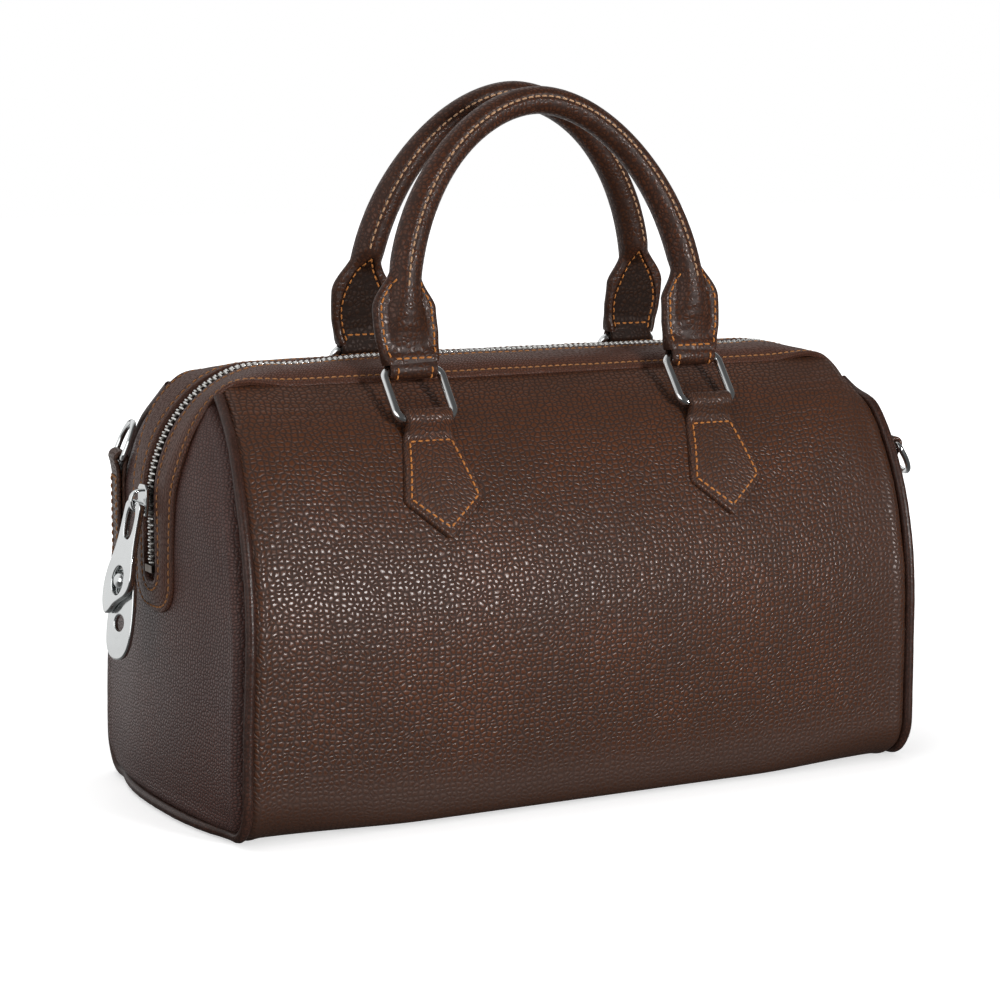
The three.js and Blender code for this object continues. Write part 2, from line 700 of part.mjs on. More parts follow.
// A handle with its rings and tabs, drawn at the front and turned half round for the back.
function addHandle(side, shift, ringLean) {
  const turn = (geometry) => (side === "front" ? geometry : halfTurn(geometry));
  const toFront = side === "front" ? 1 : -1;
  const headY = RING_SPAN * Math.sin(ringLean) - RING_FOOT[0];
  const headZ = RING_SPAN * Math.cos(ringLean) + RING_FOOT[1];
  for (const [name, geometry, finish] of [["cover", cover, "handle"], ["core", core, "rope"]]) {
    const leaned = geometry.clone().rotateX(-HANDLE_LEAN).translate(toFront * shift, headY, headZ);
    addPart(`${side}_handle_${name}`, turn(leaned), finish);
  }
  for (const [end, x] of [["left", -HANDLE_X], ["right", HANDLE_X]]) {
    const place = toFront * (x + shift);
    const leaned = ring.clone().rotateX(-ringLean).translate(place, -RING_FOOT[0], RING_FOOT[1]);
    addPart(`${side}_${end}_ring`, turn(leaned), "metal");
    addPart(`${side}_${end}_handle_tab`, turn(handleTab(place)), "leather");
  }
}

addHandle("front", 0, FRONT_RING_LEAN);
addHandle("back", BACK_SHIFT, BACK_RING_LEAN);

// Slider and pull, drawn with the outside of the left end towards +X and then turned to it
const sliderPlace = new THREE.Group();
sliderPlace.position.set(-END_X, 0, BEND_HEIGHT);
sliderPlace.rotation.z = Math.PI;
bag.add(sliderPlace);

// A plate drawn in Y and Z, from one distance out of the leather to another.
function flatPlate(shape, from, to) {
  const options = { depth: to - from, bevelEnabled: false, curveSegments: 6 };
  const plate = new THREE.ExtrudeGeometry(shape, options).translate(0, 0, from);
  return plate.rotateX(Math.PI / 2).rotateZ(Math.PI / 2);
}

function sliderOutline() {
  const half = SLIDER_WIDTH / 2;
  const end = SLIDER_LENGTH / 2;
  const shape = new THREE.Shape();
  shape.moveTo(-half + 1.2, -end);
  shape.lineTo(half - 1.2, -end);
  shape.lineTo(half, 0);
  shape.lineTo(half, end - 2);
  shape.lineTo(half - 2, end);
  shape.lineTo(-half + 2, end);
  shape.lineTo(-half, end - 2);
  shape.lineTo(-half, 0);
  return shape;
}

const lowerPlate = flatPlate(sliderOutline(), -2.4, -1.2);
const upperPlate = flatPlate(sliderOutline(), 3.7, 5);
const web = box([5.6, 0.8, 3], [1.2, 0, 3.5]);
addPart("slider_body", combine([lowerPlate, upperPlate, web]), "metal", sliderPlace);

const bridgeFoot = 5.3;
const bridgeBlock = box(BRIDGE, [bridgeFoot + BRIDGE[0] / 2, 0, -0.5]);
const windowDepth = BRIDGE[0] - BRIDGE_WALL;
const bridgeWindow = box([windowDepth + 1, 8, 6], [bridgeFoot + windowDepth / 2 - 0.5, 0, PULL_PIVOT[1]]);
addPart("slider_bridge", combine([bridgeBlock], [bridgeWindow]), "metal", sliderPlace);

// The pull hangs from the bridge; its upper bar is the local Y axis.
const pullPlace = new THREE.Group();
pullPlace.position.set(PULL_PIVOT[0], 0, PULL_PIVOT[1]);
pullPlace.rotation.set(-PULL_ROLL, -PULL_LEAN, PULL_TWIST, "ZXY");
sliderPlace.add(pullPlace);

function roundHole(drop, radius) {
  const hole = new THREE.Path();
  hole.absarc(0, -drop, radius, 0, Math.PI * 2, true);
  return hole;
}

function pullOutline() {
  const shape = new THREE.Shape();
  shape.moveTo(-5.2, 0.9);
  shape.lineTo(-5.5, -14);
  shape.quadraticCurveTo(-6, -21, -8.2, -28);
  shape.quadraticCurveTo(-9.6, -38, -7.4, -45);
  shape.quadraticCurveTo(-4.5, -50.5, -1.8, -46);
  shape.quadraticCurveTo(0.5, -41.5, 4.5, -39);
  shape.quadraticCurveTo(8.4, -36, 8.4, -31);
  shape.quadraticCurveTo(8, -25, 5.9, -20);
  shape.lineTo(5.2, 0.9);
  shape.holes.push(roundedRectangle(5.8, 14.6, -8.2, 0.8, THREE.Path), roundHole(RIVET_DROP, RIVET_HOLE));
  return shape;
}

// The tongue is drawn from its rivet, and hangs plumb from the askew plate.
function tongueOutline() {
  const shape = new THREE.Shape();
  shape.moveTo(-4, 5);
  shape.quadraticCurveTo(-8.4, -2, -8.4, -14);
  shape.absellipse(0, -21, 8.8, 11, Math.PI * 0.9, Math.PI * 2.1, false);
  shape.quadraticCurveTo(8.4, -2, 4, 5);
  shape.holes.push(roundHole(0, RIVET_HOLE), roundHole(17.5, 3.2));
  return shape;
}

const tonguePlace = new THREE.Group();
tonguePlace.position.set(0, 0, -RIVET_DROP);
tonguePlace.rotation.x = PULL_ROLL;
pullPlace.add(tonguePlace);
const tongueFace = -PULL / 2 - PULL_GAP;
addPart("pull_plate", flatPlate(pullOutline(), -PULL / 2, PULL / 2), "metal", pullPlace);
addPart("pull_tongue", flatPlate(tongueOutline(), tongueFace - TONGUE, tongueFace), "metal", tonguePlace);

// Domed rivet through both plates, with a thin head behind.
const rivetBack = tongueFace - TONGUE - PULL_GAP;
const rivetFront = PULL / 2 + PULL_GAP;
const rivetProfile = [
  [0, rivetBack - 0.7], [3, rivetBack - 0.7], [3, rivetBack], [RIVET_RADIUS, rivetBack],
  [RIVET_RADIUS, rivetFront], [3.9, rivetFront], [3, rivetFront + 1.1], [0, rivetFront + 1.6],
];
const rivetPoints = rivetProfile.map(([radius, out]) => new THREE.Vector2(radius, out));
const rivet = new THREE.LatheGeometry(rivetPoints, 12).rotateZ(-Math.PI / 2).translate(0, 0, -RIVET_DROP);
addPart("pull_rivet", rivet, "metal", pullPlace);

// Strap tabs and D-rings, drawn with the outside towards -X and turned to each end
function strapTab(inset) {
  const [thick, width, height] = STRAP_TAB;
  const outer = inset - STRAP_LOOP_OUTER;
  const plate = box([thick, width, height], [outer + thick / 2, 0, -height / 2]);
  const loop = rodAlongY(STRAP_LOOP_OUTER, width);
  return combine([plate, loop], [rodAlongY(STRAP_LOOP_BORE, width + 6)]);
}

function dRing() {
  const outer = new THREE.Shape();
  const half = D_WIDTH / 2;
  const wire = D_WIRE;
  outer.moveTo(-half, -wire / 2);
  outer.lineTo(half, -wire / 2);
  outer.lineTo(half, 5);
  outer.absellipse(0, 5, half, D_REACH - 5, 0, Math.PI, false);
  const inner = new THREE.Path();
  inner.moveTo(-half + wire, wire / 2);
  inner.lineTo(half - wire, wire / 2);
  inner.lineTo(half - wire, 5);
  inner.absellipse(0, 5, half - wire, D_REACH - 5 - wire, 0, Math.PI, false);
  return bevelledRing(outer, inner, wire).rotateZ(-Math.PI / 2);
}

function strapPlace(name, side, strap) {
  const place = new THREE.Group();
  place.position.set(side * strap.x, -side * STRAP_Y, strap.height);
  place.rotation.z = side < 0 ? -STRAP_TURN : Math.PI - STRAP_TURN;
  bag.add(place);
  addPart(`${name}_strap_tab`, strapTab(strap.inset), "leather", place);
  return place;
}

const leftStrap = strapPlace("left", -1, LEFT_STRAP);
const rightStrap = strapPlace("right", 1, RIGHT_STRAP);
addPart("left_strap_ring", dRing().rotateY(LEFT_D_LEAN), "metal", leftStrap);
addPart("right_strap_ring", dRing().rotateY(Math.PI + RIGHT_D_LEAN), "metal", rightStrap);

export default bag;
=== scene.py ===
import math

import bmesh
import bpy
import numpy as np
from mathutils import Matrix, Vector


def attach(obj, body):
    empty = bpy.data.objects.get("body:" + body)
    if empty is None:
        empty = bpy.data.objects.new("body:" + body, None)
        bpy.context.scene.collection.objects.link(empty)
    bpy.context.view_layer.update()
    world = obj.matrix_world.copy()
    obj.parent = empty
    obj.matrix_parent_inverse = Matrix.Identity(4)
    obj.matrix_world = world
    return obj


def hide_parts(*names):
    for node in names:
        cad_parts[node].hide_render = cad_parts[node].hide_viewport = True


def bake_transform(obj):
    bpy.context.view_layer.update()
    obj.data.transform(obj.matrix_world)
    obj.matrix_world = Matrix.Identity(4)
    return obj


# A zip-top leather handbag around its frame. Shapes are worked out in millimetres.
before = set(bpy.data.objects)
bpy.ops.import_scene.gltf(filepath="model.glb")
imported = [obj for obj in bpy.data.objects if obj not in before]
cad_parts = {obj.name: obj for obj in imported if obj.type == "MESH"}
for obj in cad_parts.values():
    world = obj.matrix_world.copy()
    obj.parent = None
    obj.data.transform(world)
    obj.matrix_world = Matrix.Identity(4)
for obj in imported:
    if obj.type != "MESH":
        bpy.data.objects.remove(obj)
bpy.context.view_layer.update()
scene = bpy.context.scene
MM = 0.001
QUARTER = math.pi / 2
X_AXIS, Y_AXIS = np.eye(3)[:2]

# Body
HALF_LENGTH = 160
HALF_DEPTH = 75
SIDE_TOP = 70  # height where the front starts to lean back
TOP = 183.5
BASE_CORNER = 18
FOOT_FILL = 0.62  # how far the leather fills that corner away from the side seams; 1 would be square
FOOT_REACH = 80  # distance from a side seam where it is filled that far
PANEL = 2  # thickness
PANEL_TOP_Y = 24.5  # the panels end here, under the facings
FRONT_BULGE = 4
BULGE_HEIGHTS = (4, 70, 80, 170)  # the bulge grows between the first two and fades between the others
PANEL_SWELL = 0.5  # uneven swells of the leather
END_SWELL = 0.4
CORNER_PUFF = 2.2  # the front's upper corners puff out beside the side seams
CORNER_EDGES = (2, 20, 25, 75)
CORNER_HEIGHTS = (110, 150, 156, 174)
CORNER_FOLD = 0.2
FOLD_HEIGHTS = (125, 150, 165, 174)
SEAM_GAP = 0.5  # from a panel's edge to the middle of its seam
LEFT_SEAMS = (3.2, 9)  # how far an end's seams lean in, and how much more at their upper ends
RIGHT_SEAMS = (0, 5)
SEAM_LEAN = (20, 120)  # heights between which they lean in
TAPER_START = 80
FRONT_PUCKER = {"depth": 0.25, "sink": 1.7, "reach": 1.8, "lip": 0.5}
END_PUCKER = {"depth": 0.2, "sink": 3.2, "reach": 2.6, "lip": 0.6}
END_BOW = 7.5  # how far an end's middle stands out
END_POWER = 2.5
END_ROLL = 0.8
END_SHOULDER = 2.6  # how far an end stands out right beside its seams
SHOULDER_WIDTHS = (3, 18)  # it grows within the first distance from a seam and fades over the second
FRONT_SHOULDER_TOP = (110, 150)  # heights over which this fades out
BACK_SHOULDER_TOP = (75, 95)
END_TOP = 176  # where an end panel stops, under the facing
DIP_START = 155  # the front's upper corners sink above this height
PIPING_RADIUS = 2.2
LINING = 0.7
LINING_INSET = 4.6
LINING_SEAM_GAP = 17
LINING_SPLIT = 84  # height where an end's lining parts for the zip
LINING_SLOT = 18  # half width of that gap
BOARD = (296, 106)
BOARD_TOP = 4.4
POCKET = (170, 70)
POCKET_FOOT = 24
POCKET_SAG = 2.5

# Zip track over the top and down both ends
TRACK_HALF = 115
TRACK_RADIUS = 53
TRACK_END_HEIGHT = 84
BEND_HEIGHT = TOP - TRACK_RADIUS
BEND_LENGTH = TRACK_RADIUS * QUARTER
END_X = TRACK_HALF + TRACK_RADIUS
END_CROWN = 1
CROWN_TURN = 0.6
CORNER_LIFT = 4
CORNER_LIFT_END = 1.35
ZIP_SAG = 1.8  # the zip lies lower just before its bends
FACING = 2.4  # thickness
FACING_EDGE = 1.5  # thickness at the outer edge
FACING_ROLL = 1.5  # radius of its turned edges
FACING_SKIRT = 1.2  # how far it reaches into the leather below
FACING_BED = 0.4  # the leather below it lies this far under the zip's track
FACING_INNER = 5
FACING_OUTER = 26
FACING_END_OUTER = 20
FACING_END_DEPTH = 18
FACING_TOP_END = 112.4
INNER_ROW = 4  # stitch rows from the facing's edges
OUTER_ROW = 2.5
ROW_WIDTH = 0.9  # of the furrow that a stitch row draws
TAPE_INNER = 1
TAPE_OUTER = 13
TEETH_END_HEIGHT = 104
TOOTH_PITCH = 2.6
TOOTH_SECTIONS = (  # distance across, half width, and lower and upper side, from root to head
    (3.1, 0.45, 0.2, 1.6),
    (2.1, 0.52, 0.2, 2.1),
    (0.9, 0.56, 0.2, 2.5),
    (-0.3, 0.5, 0.3, 2.4),
    (-0.6, 0.2, 0.9, 1.8),
)
SLOT_HALF = 12

# Handles, rings and tabs
HANDLE_X = 68
BACK_SHIFT = 14
HANDLE_SPREAD = 69.5
HANDLE_LEG = 24
HANDLE_HEIGHT = 111
ARCH_POWER = 1.85
HANDLE_RADIUS = 5.9
LEG_RADIUS = 6.9
HANDLE_LEAN = 0.13
HANDLE_ROWS = {False: 0.17, True: 0.39}  # angle of the stitch row on the outer and the inner face
ROPE_RADIUS = 2.6
RING_WIDTH = 30
RING_WIRE = 3.8
RING_FOOT = (-50.2, 163.4)  # middle of a ring's lower bar, in Y and Z
RING_SPAN = 23.5
RING_LEANS = {"front": 0.66, "back": 0.45}
NECK_HALF = 10.8
SPADE_HALF = 14.4
SPADE_TOP = 41
FLANGE = 2.1
FLANGE_ROLL = 1.8
PATCH_RIM = 3
PATCH_HALF = 11.6
LOOP_RADIUS = 3.1
LOOP_THICK = 1.9
TAB_LOOP_WIDTH = 21
TAB_WIDTH = 36.5
TAB_SHOULDER = 130.5
TAB_TIP = 116
TAB_LEAVES = 8  # a tab leaves the leather this far below its ring
TAB_STITCH_TOP = 153
TAB_NECK = TAB_STITCH_TOP + 4
TAB_ROW = 2.5  # stitch row from the tab's edge

# Slider, pull, strap tabs and D-rings
PULL_PIVOT = (7.4, -1)
PULL_LEAN = 0.16
PULL_TWIST = 0.22
PULL_ROLL = 0.15
PULL = 2.9
TONGUE = 2.2
PULL_GAP = 0.3
RIVET_DROP = 33
STRAP_Y = 47
STRAP_TURN = 0.2
STRAP_WIDTH = 16
STRAP_LENGTH = 44
STRAP_THICK = 1.8
STRAP_PINCH = -6  # height against the ring's bar where the strap's two layers come together
LEFT_STRAP = (165.2, 142.5, 1.2)  # the loop's distance out, its height, and the tab's inset below it
RIGHT_STRAP = (167.5, 139.5, 2.8)
STRAP_LOOP_RADIUS = 2.4
D_WIDTH = 22.4
D_REACH = 17
D_WIRE = 2.6
LEFT_D_LEAN = 0.4
RIGHT_D_LEAN = 0.54

# Thread
STITCH_PITCH = 3.3
STITCH_LENGTH = 2.5
STITCH_RADIUS = 0.42
FINE_STITCH = 0.36  # radius of the thinner thread on the zip facings

# Material numbers within a piece; 0 is what it is made of
THREAD = 1
PALE_THREAD = 2
# darker leather on the handle ends' inner patches and loop backs, painted shade
SHADED_LEATHER = 3

# Leather
GRAIN_STRETCH = 1.18  # pebbles are this much wider than high
GRAIN_DISORDER = 0.72
WORN_GRAIN = 0.55  # share of the grain, and of the painted shade in its creases, left where the leather is worn smooth
# worn places take the warm colour times this: painted shade along the lower edge, a darker tone at the right
# side
PAINTED_SHADE_TONE = 0.68

# Studio, in metres
DARK_SIDE = (0.45, -0.86, 0.24)  # direction that the bag mirrors as dark
CAMERA_PLACE = (-0.56632, -1.02618, 0.28742)
CAMERA_TURN = math.radians(28.6)
CAMERA_DIP = math.radians(8.2)
CAMERA_LENS = 97.2


# Numbers and shapes

def smooth(low, high, value):
    share = np.clip((value - low) / (high - low), 0, 1)
    return share * share * (3 - 2 * share)


def window(start, full, fade, end, value):
    """Rises smoothly from 0 at start to 1 at full, and falls again from fade to end."""
    return smooth(start, full, value) * (1 - smooth(fade, end, value))


def bell(value, width):
    return np.exp(-(value / width) ** 2)


def round_edge(edge, radius, share=1):
    """Height of a sheet beside its rounded edge, up to 1; share is how much of the drop is made."""
    return np.sqrt(1 - share * (1 - np.clip(edge / radius, 0, 1)) ** 2)


def full_turn(count):
    return np.linspace(0, 2 * np.pi, count, endpoint=False)


def unit(vectors):
    return vectors / np.maximum(np.linalg.norm(vectors, axis=-1, keepdims=True), 1e-9)


def vector(*values):
    """Arrays of x, y and z as one array of points."""
    return np.stack(np.broadcast_arrays(*[np.asarray(v, float) for v in values]), -1)


def lengths_along(line):
    return np.concatenate([[0], np.cumsum(np.linalg.norm(np.diff(line, axis=0), axis=1))])


def along_line(places, steps, line):
    """Points at given distances along a line, whose own points lie at the steps."""
    return vector(*[np.interp(places, steps, column) for column in line.T])


def softened(path, rounds):
    """A path with its corners eased."""
    for _ in range(rounds):
        path[1:-1] = (path[:-2] + 2 * path[1:-1] + path[2:]) / 4
    return path


def normals_of(grid):
    """Unit normals of a grid of points, from its rows and columns."""
    rows = np.gradient(grid, axis=0)
    columns = np.gradient(grid, axis=1)
    return unit(np.cross(columns, rows))


def flat_of(grid):
    """Distances across and along a grid, as if its leather lay flat."""
    across = np.linalg.norm(np.diff(grid, axis=1, prepend=grid[:, :1]), axis=2).cumsum(1)
    along = np.linalg.norm(np.diff(grid, axis=0, prepend=grid[:1]), axis=2).cumsum(0)
    return np.stack([across - across[:, -1:] / 2, along], -1)


class Shape:
    """Points, faces and material numbers of one piece, and where its points lie on flat leather."""

    def __init__(self):
        self.blocks = []
        self.flats = []
        self.faces = []
        self.kinds = []
        self.count = 0

    def add(self, points, faces, kind=0, flat=None):
        points = np.asarray(points, float).reshape(-1, 3)
        flat = np.zeros((len(points), 2)) if flat is None else flat.reshape(-1, 2)
        self.blocks.append(points)
        self.flats.append(flat)
        self.faces.extend(tuple(self.count + i for i in face) for face in faces)
        self.kinds.extend([kind] * len(faces))
        self.count += len(points)

    def points(self):
        return np.concatenate(self.blocks)

    def flat(self):
        return np.concatenate(self.flats)

    def moved(self, change):
        """The same shape with its points passed through a function."""
        other = Shape()
        other.add(change(self.points()), self.faces, 0, self.flat())
        other.kinds = list(self.kinds)
        return other


def half_turn(points):
    return points * np.array([-1, -1, 1])


def to_back(points):
    return points * np.array([1, -1, 1])


def turned(points, **angles):
    """Points turned about one axis after another, in the order given."""
    for axis, angle in angles.items():
        points = points @ np.array(Matrix.Rotation(angle, 3, axis)).T
    return points


def grid_faces(rows, columns, wrap_rows=False, wrap_columns=False):
    faces = []
    for j in range(rows if wrap_rows else rows - 1):
        for i in range(columns if wrap_columns else columns - 1):
            right = (i + 1) % columns
            up = (j + 1) % rows
            faces.append((j * columns + i, j * columns + right, up * columns + right, up * columns + i))
    return faces


def slab(shape, outer, inner, kind=0):
    """A closed sheet between two grids of the same size."""
    rows, columns = outer.shape[:2]
    layer = rows * columns
    faces = grid_faces(rows, columns)
    faces += [tuple(layer + i for i in reversed(face)) for face in grid_faces(rows, columns)]
    ring = list(range(columns))
    ring += [j * columns + columns - 1 for j in range(1, rows)]
    ring += [(rows - 1) * columns + i for i in range(columns - 2, -1, -1)]
    ring += [j * columns for j in range(rows - 2, 0, -1)]
    for a, b in zip(ring, ring[1:] + ring[:1]):
        faces.append((b, a, layer + a, layer + b))
    flat = flat_of(outer)
    depth = np.linalg.norm(outer - inner, axis=2)[..., None]
    points = np.concatenate([outer.reshape(-1, 3), inner.reshape(-1, 3)])
    shape.add(points, faces, kind, np.concatenate([flat, flat + depth]))


def loft(shape, rings, closed=False, kind=0):
    """A skin over rings of points, with flat caps where it isn't closed."""
    count, sides = rings.shape[:2]
    faces = grid_faces(count, sides, closed, True)
    if not closed:
        faces.append(tuple(reversed(range(sides))))
        faces.append(tuple((count - 1) * sides + i for i in range(sides)))
    shape.add(rings, faces, kind, flat_of(rings))


def tangents_of(path, closed=False):
    if closed:
        return unit(np.roll(path, -1, 0) - np.roll(path, 1, 0))
    return unit(np.gradient(path, axis=0))


def tube(shape, path, radius, reference, sides, closed=False):
    """A round rod along a path; the reference is a direction that the path never takes."""
    along = tangents_of(path, closed)
    side = unit(np.cross(along, reference))
    up = np.cross(side, along)
    turn = full_turn(sides)
    radius = np.broadcast_to(radius, len(path))[:, None, None]
    circle = np.cos(turn)[None, :, None] * side[:, None] + np.sin(turn)[None, :, None] * up[:, None]
    loft(shape, path[:, None] + radius * circle, closed)


def strap(shape, path, width, reference, thickness, kind=0):
    """A flat strap with round edges: the reference is the direction of its width."""
    along = tangents_of(path)
    up = unit(np.cross(reference, along))
    half = thickness / 2
    turn = np.linspace(-QUARTER, QUARTER, 7)
    edge = np.concatenate([half * np.cos(turn), -half * np.cos(turn)])
    height = np.concatenate([half * np.sin(turn), half * np.sin(turn[::-1])])
    ends = np.concatenate([np.ones(7), -np.ones(7)])
    flat = ends * (width / 2 - half) + edge
    rings = path[:, None] + flat[:, None] * reference + height[:, None] * up[:, None]
    loft(shape, rings, kind=kind)


def stitches(shape, line, outs, kind=THREAD, thick=STITCH_RADIUS):
    """Thread along a line: short rounded strokes that dip into the leather at both ends.

    The way out of the leather is one direction or one for each point of the line.
    """
    steps = lengths_along(line)
    count = max(int(round(steps[-1] / STITCH_PITCH)), 1)
    shares = np.array([0, 0.18, 0.5, 0.82, 1])
    lift = thick * np.array([-0.6, 0.35, 0.65, 0.35, -0.6])
    radius = thick * np.array([0.6, 0.95, 1, 0.95, 0.6])
    starts = (np.arange(count) + 0.5) * steps[-1] / count - STITCH_LENGTH / 2
    places = starts[:, None] + shares * STITCH_LENGTH
    at = along_line(places, steps, line)
    out = unit(along_line(places, steps, np.broadcast_to(outs, line.shape)))
    along = unit(at[:, -1] - at[:, 0])[:, None]
    side = unit(np.cross(along, out))
    turn = full_turn(6)
    circle = np.cos(turn)[:, None] * side[:, :, None] + np.sin(turn)[:, None] * out[:, :, None]
    rings = (at + lift[:, None] * out)[:, :, None] + radius[:, None, None] * circle
    for ring in rings:
        loft(shape, ring, kind=kind)


def make(name, shape, materials, body, replaced, sharp=50):
    """A mesh object from a shape, riding on a body unless that is None."""
    mesh = bpy.data.meshes.new(name)
    mesh.from_pydata((shape.points() * MM).tolist(), [], shape.faces)
    for material in materials:
        mesh.materials.append(material)
    mesh.polygons.foreach_set("material_index", shape.kinds)
    corners = np.zeros(len(mesh.loops), int)
    mesh.loops.foreach_get("vertex_index", corners)
    mesh.uv_layers.new(name="flat").data.foreach_set("uv", (shape.flat()[corners] * MM).ravel())
    builder = bmesh.new()
    builder.from_mesh(mesh)
    bmesh.ops.recalc_face_normals(builder, faces=builder.faces)
    builder.to_mesh(mesh)
    builder.free()
    mesh.polygons.foreach_set("use_smooth", [True] * len(mesh.polygons))
    mesh.set_sharp_from_angle(angle=math.radians(sharp))
    mesh.update()
    piece = bpy.data.objects.new(name, mesh)
    scene.collection.objects.link(piece)
    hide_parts(*replaced)
    if body:
        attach(piece, body)
    return piece


# Surfaces of the bag

def section_line():
    """The front's outline seen from an end, from the bottom seam to the hidden upper edge."""
    corner = np.linspace(0, QUARTER, 30)
    low_y = BASE_CORNER - HALF_DEPTH - BASE_CORNER * np.sin(corner)
    low = vector(low_y, BASE_CORNER * (1 - np.cos(corner)))
    upright = vector(-HALF_DEPTH, np.linspace(BASE_CORNER, SIDE_TOP, 40)[1:])
    lean = np.linspace(0, math.acos(PANEL_TOP_Y / HALF_DEPTH), 160)[1:]
    arch = vector(-HALF_DEPTH * np.cos(lean), SIDE_TOP + (TOP - SIDE_TOP) * np.sin(lean))
    return np.concatenate([low, upright, arch])


SECTION = section_line()
SECTION_STEPS = lengths_along(SECTION)
SECTION_LENGTH = SECTION_STEPS[-1]
SECTION_TURN = tangents_of(SECTION)


def section(share):
    """Distance back, height and direction of the outline at a share of its length."""
    place = np.asarray(share) * SECTION_LENGTH
    return [np.interp(place, SECTION_STEPS, column) for column in (*SECTION.T, *SECTION_TURN.T)]


def share_at(height):
    return np.interp(height, SECTION[:, 1], SECTION_STEPS) / SECTION_LENGTH


def seam_x(height, seams):
    lean_in, taper = seams
    rise = np.maximum(height - TAPER_START, 0) / (TOP - TAPER_START)
    return HALF_LENGTH - lean_in * smooth(*SEAM_LEAN, height) - taper * rise ** 3


def arch_height(across):
    return SIDE_TOP + (TOP - SIDE_TOP) * np.sqrt(1 - (across / HALF_DEPTH) ** 2)


def crown(along, across):
    """How far the leather falls away from the zip's line at a distance across it."""
    angle = (np.abs(along) - TRACK_HALF) / TRACK_RADIUS
    turned = smooth(0, CROWN_TURN, angle)
    lifted = turned * (1 - smooth(CROWN_TURN, CORNER_LIFT_END, angle))
    on_top = TOP - arch_height(across)
    on_end = (END_CROWN - CORNER_LIFT * lifted) * (across / FACING_OUTER) ** 2
    return on_top + (on_end - on_top) * turned


def zip_sag(along, across):
    """How far the zip and the facings' inner edges sink where the bend starts."""
    angle = (np.abs(along) - TRACK_HALF) / TRACK_RADIUS
    started = window(-0.9, -0.1, -0.1, 0.35, angle)
    return ZIP_SAG * started * (1 - smooth(4, 15, np.abs(across)))


def track_at(height):
    """Distance along the zip's track from the bag's middle to a height on an end."""
    return TRACK_HALF + BEND_LENGTH + BEND_HEIGHT - height


def on_track(along, across, out):
    """A point on the zip's track: along from the bag's middle, across from the middle plane."""
    side = np.where(np.asarray(along) < 0, -1, 1)
    past = np.abs(along) - TRACK_HALF
    angle = np.clip(past / TRACK_RADIUS, 0, QUARTER)
    reach = TRACK_RADIUS + out - crown(along, across)
    down = np.maximum(past - BEND_LENGTH, 0)
    x = np.where(past < 0, along, side * (TRACK_HALF + reach * np.sin(angle)))
    return vector(x, across, BEND_HEIGHT + reach * np.cos(angle) - down)


def corner_dip(x, height):
    """How far the front's upper corners sink under the facing where the zip bends down."""
    past = np.clip(np.abs(x) - TRACK_HALF, 0, TRACK_RADIUS - 8)
    angle = np.arcsin(past / TRACK_RADIUS)
    for _ in range(4):
        reach = TRACK_RADIUS - crown(TRACK_HALF + TRACK_RADIUS * angle, FACING_OUTER)
        angle = np.arcsin(past / reach)
    foot = on_track(TRACK_HALF + TRACK_RADIUS * angle, FACING_OUTER, -FACING_BED)[..., 2]
    fall = np.maximum(arch_height(FACING_OUTER) - foot, 0)
    return fall * smooth(DIP_START, arch_height(FACING_OUTER), height)


def front_point(x, share):
    y, z, turn_y, turn_z = section(share)
    bulge = FRONT_BULGE * (1 - (x / HALF_LENGTH) ** 2) * window(*BULGE_HEIGHTS, z)
    return vector(x, y - turn_z * bulge, z + turn_y * bulge - corner_dip(x, z))


def seam_point(share, seams):
    return front_point(-seam_x(section(share)[1], seams), share)


def end_middle_x(height):
    """How far out an end's middle line lies; it follows the zip's bend at the top."""
    roll = END_ROLL * np.maximum(1 - height / 60, 0) ** 2
    above = np.maximum(height - BEND_HEIGHT, 0)
    inset = 2 * smooth(BEND_HEIGHT, BEND_HEIGHT + 12, height)
    reach = np.sqrt(np.maximum((TRACK_RADIUS - inset) ** 2 - above ** 2, 0))
    return TRACK_HALF + np.maximum(reach, 12) - roll


def facing_reach(across, height):
    """How far out the underside of the zip facing lies on an end."""
    above = np.maximum(height - BEND_HEIGHT, 0)
    angle = np.arccos(np.clip(above / TRACK_RADIUS, 0, 1))
    reach = TRACK_RADIUS - crown(TRACK_HALF + TRACK_RADIUS * angle, across) - FACING_BED
    return TRACK_HALF + np.sqrt(np.maximum(reach ** 2 - above ** 2, 0))


def left_end_point(across, share, gap, seams):
    """An end panel drawn at the left; across runs from 1 at the back seam to -1 at the front."""
    seam = seam_point(share, seams)
    _, _, turn_y, turn_z = section(share)
    half_width = -seam[..., 1] - gap * turn_z
    height = seam[..., 2] - gap * turn_y
    bulge = end_middle_x(height) + seam[..., 0]
    out = bulge * (1 - np.abs(across) ** END_POWER) - seam[..., 0]
    y = across * half_width
    beside = 1 - smooth(FACING_OUTER - 1, np.maximum(half_width - 1, FACING_OUTER), np.abs(y))
    out = out + np.maximum(facing_reach(y, height) - out, 0) * beside
    return vector(-out, y, height)


def waves(a, b, size):
    """Slow uneven swells of about one unit, the same on every run."""
    first = np.sin(a / size + 1.3 * np.sin(b / size * 0.7 + 0.4))
    second = np.sin(b / size * 1.3 + 1.1 * np.sin(a / size * 0.6 + 2.1))
    return 0.5 * (first + second)


def eased(count, strength=0.8):
    """Numbers from -1 to 1 that crowd towards both ends."""
    even = np.linspace(-1, 1, count)
    return even * (1 - strength) + strength * np.sin(even * QUARTER)


def eased_shares(count, strength=0.8):
    """Numbers from 0 to 1 that crowd towards both ends."""
    return (eased(count, strength) + 1) / 2


def pucker(grid, edge, along, depth, sink, reach, lip):
    """Leather near a seam, rolled into it and drawn into small folds; edge is the way to the seam."""
    edge = np.maximum(edge, 0)
    folds = waves(along, edge * 0.4 + along * 0.3, 2.6) + 0.6 * waves(along, along * 0.2, 4.7)
    roll = sink * np.exp(-(edge / reach) ** 1.5) - lip * bell(edge - reach - 3.5, 2.4)
    ripple = depth * folds * np.exp(-edge / 7) * smooth(0, 2, edge)
    return grid - (roll - ripple)[..., None] * normals_of(grid)


# Materials

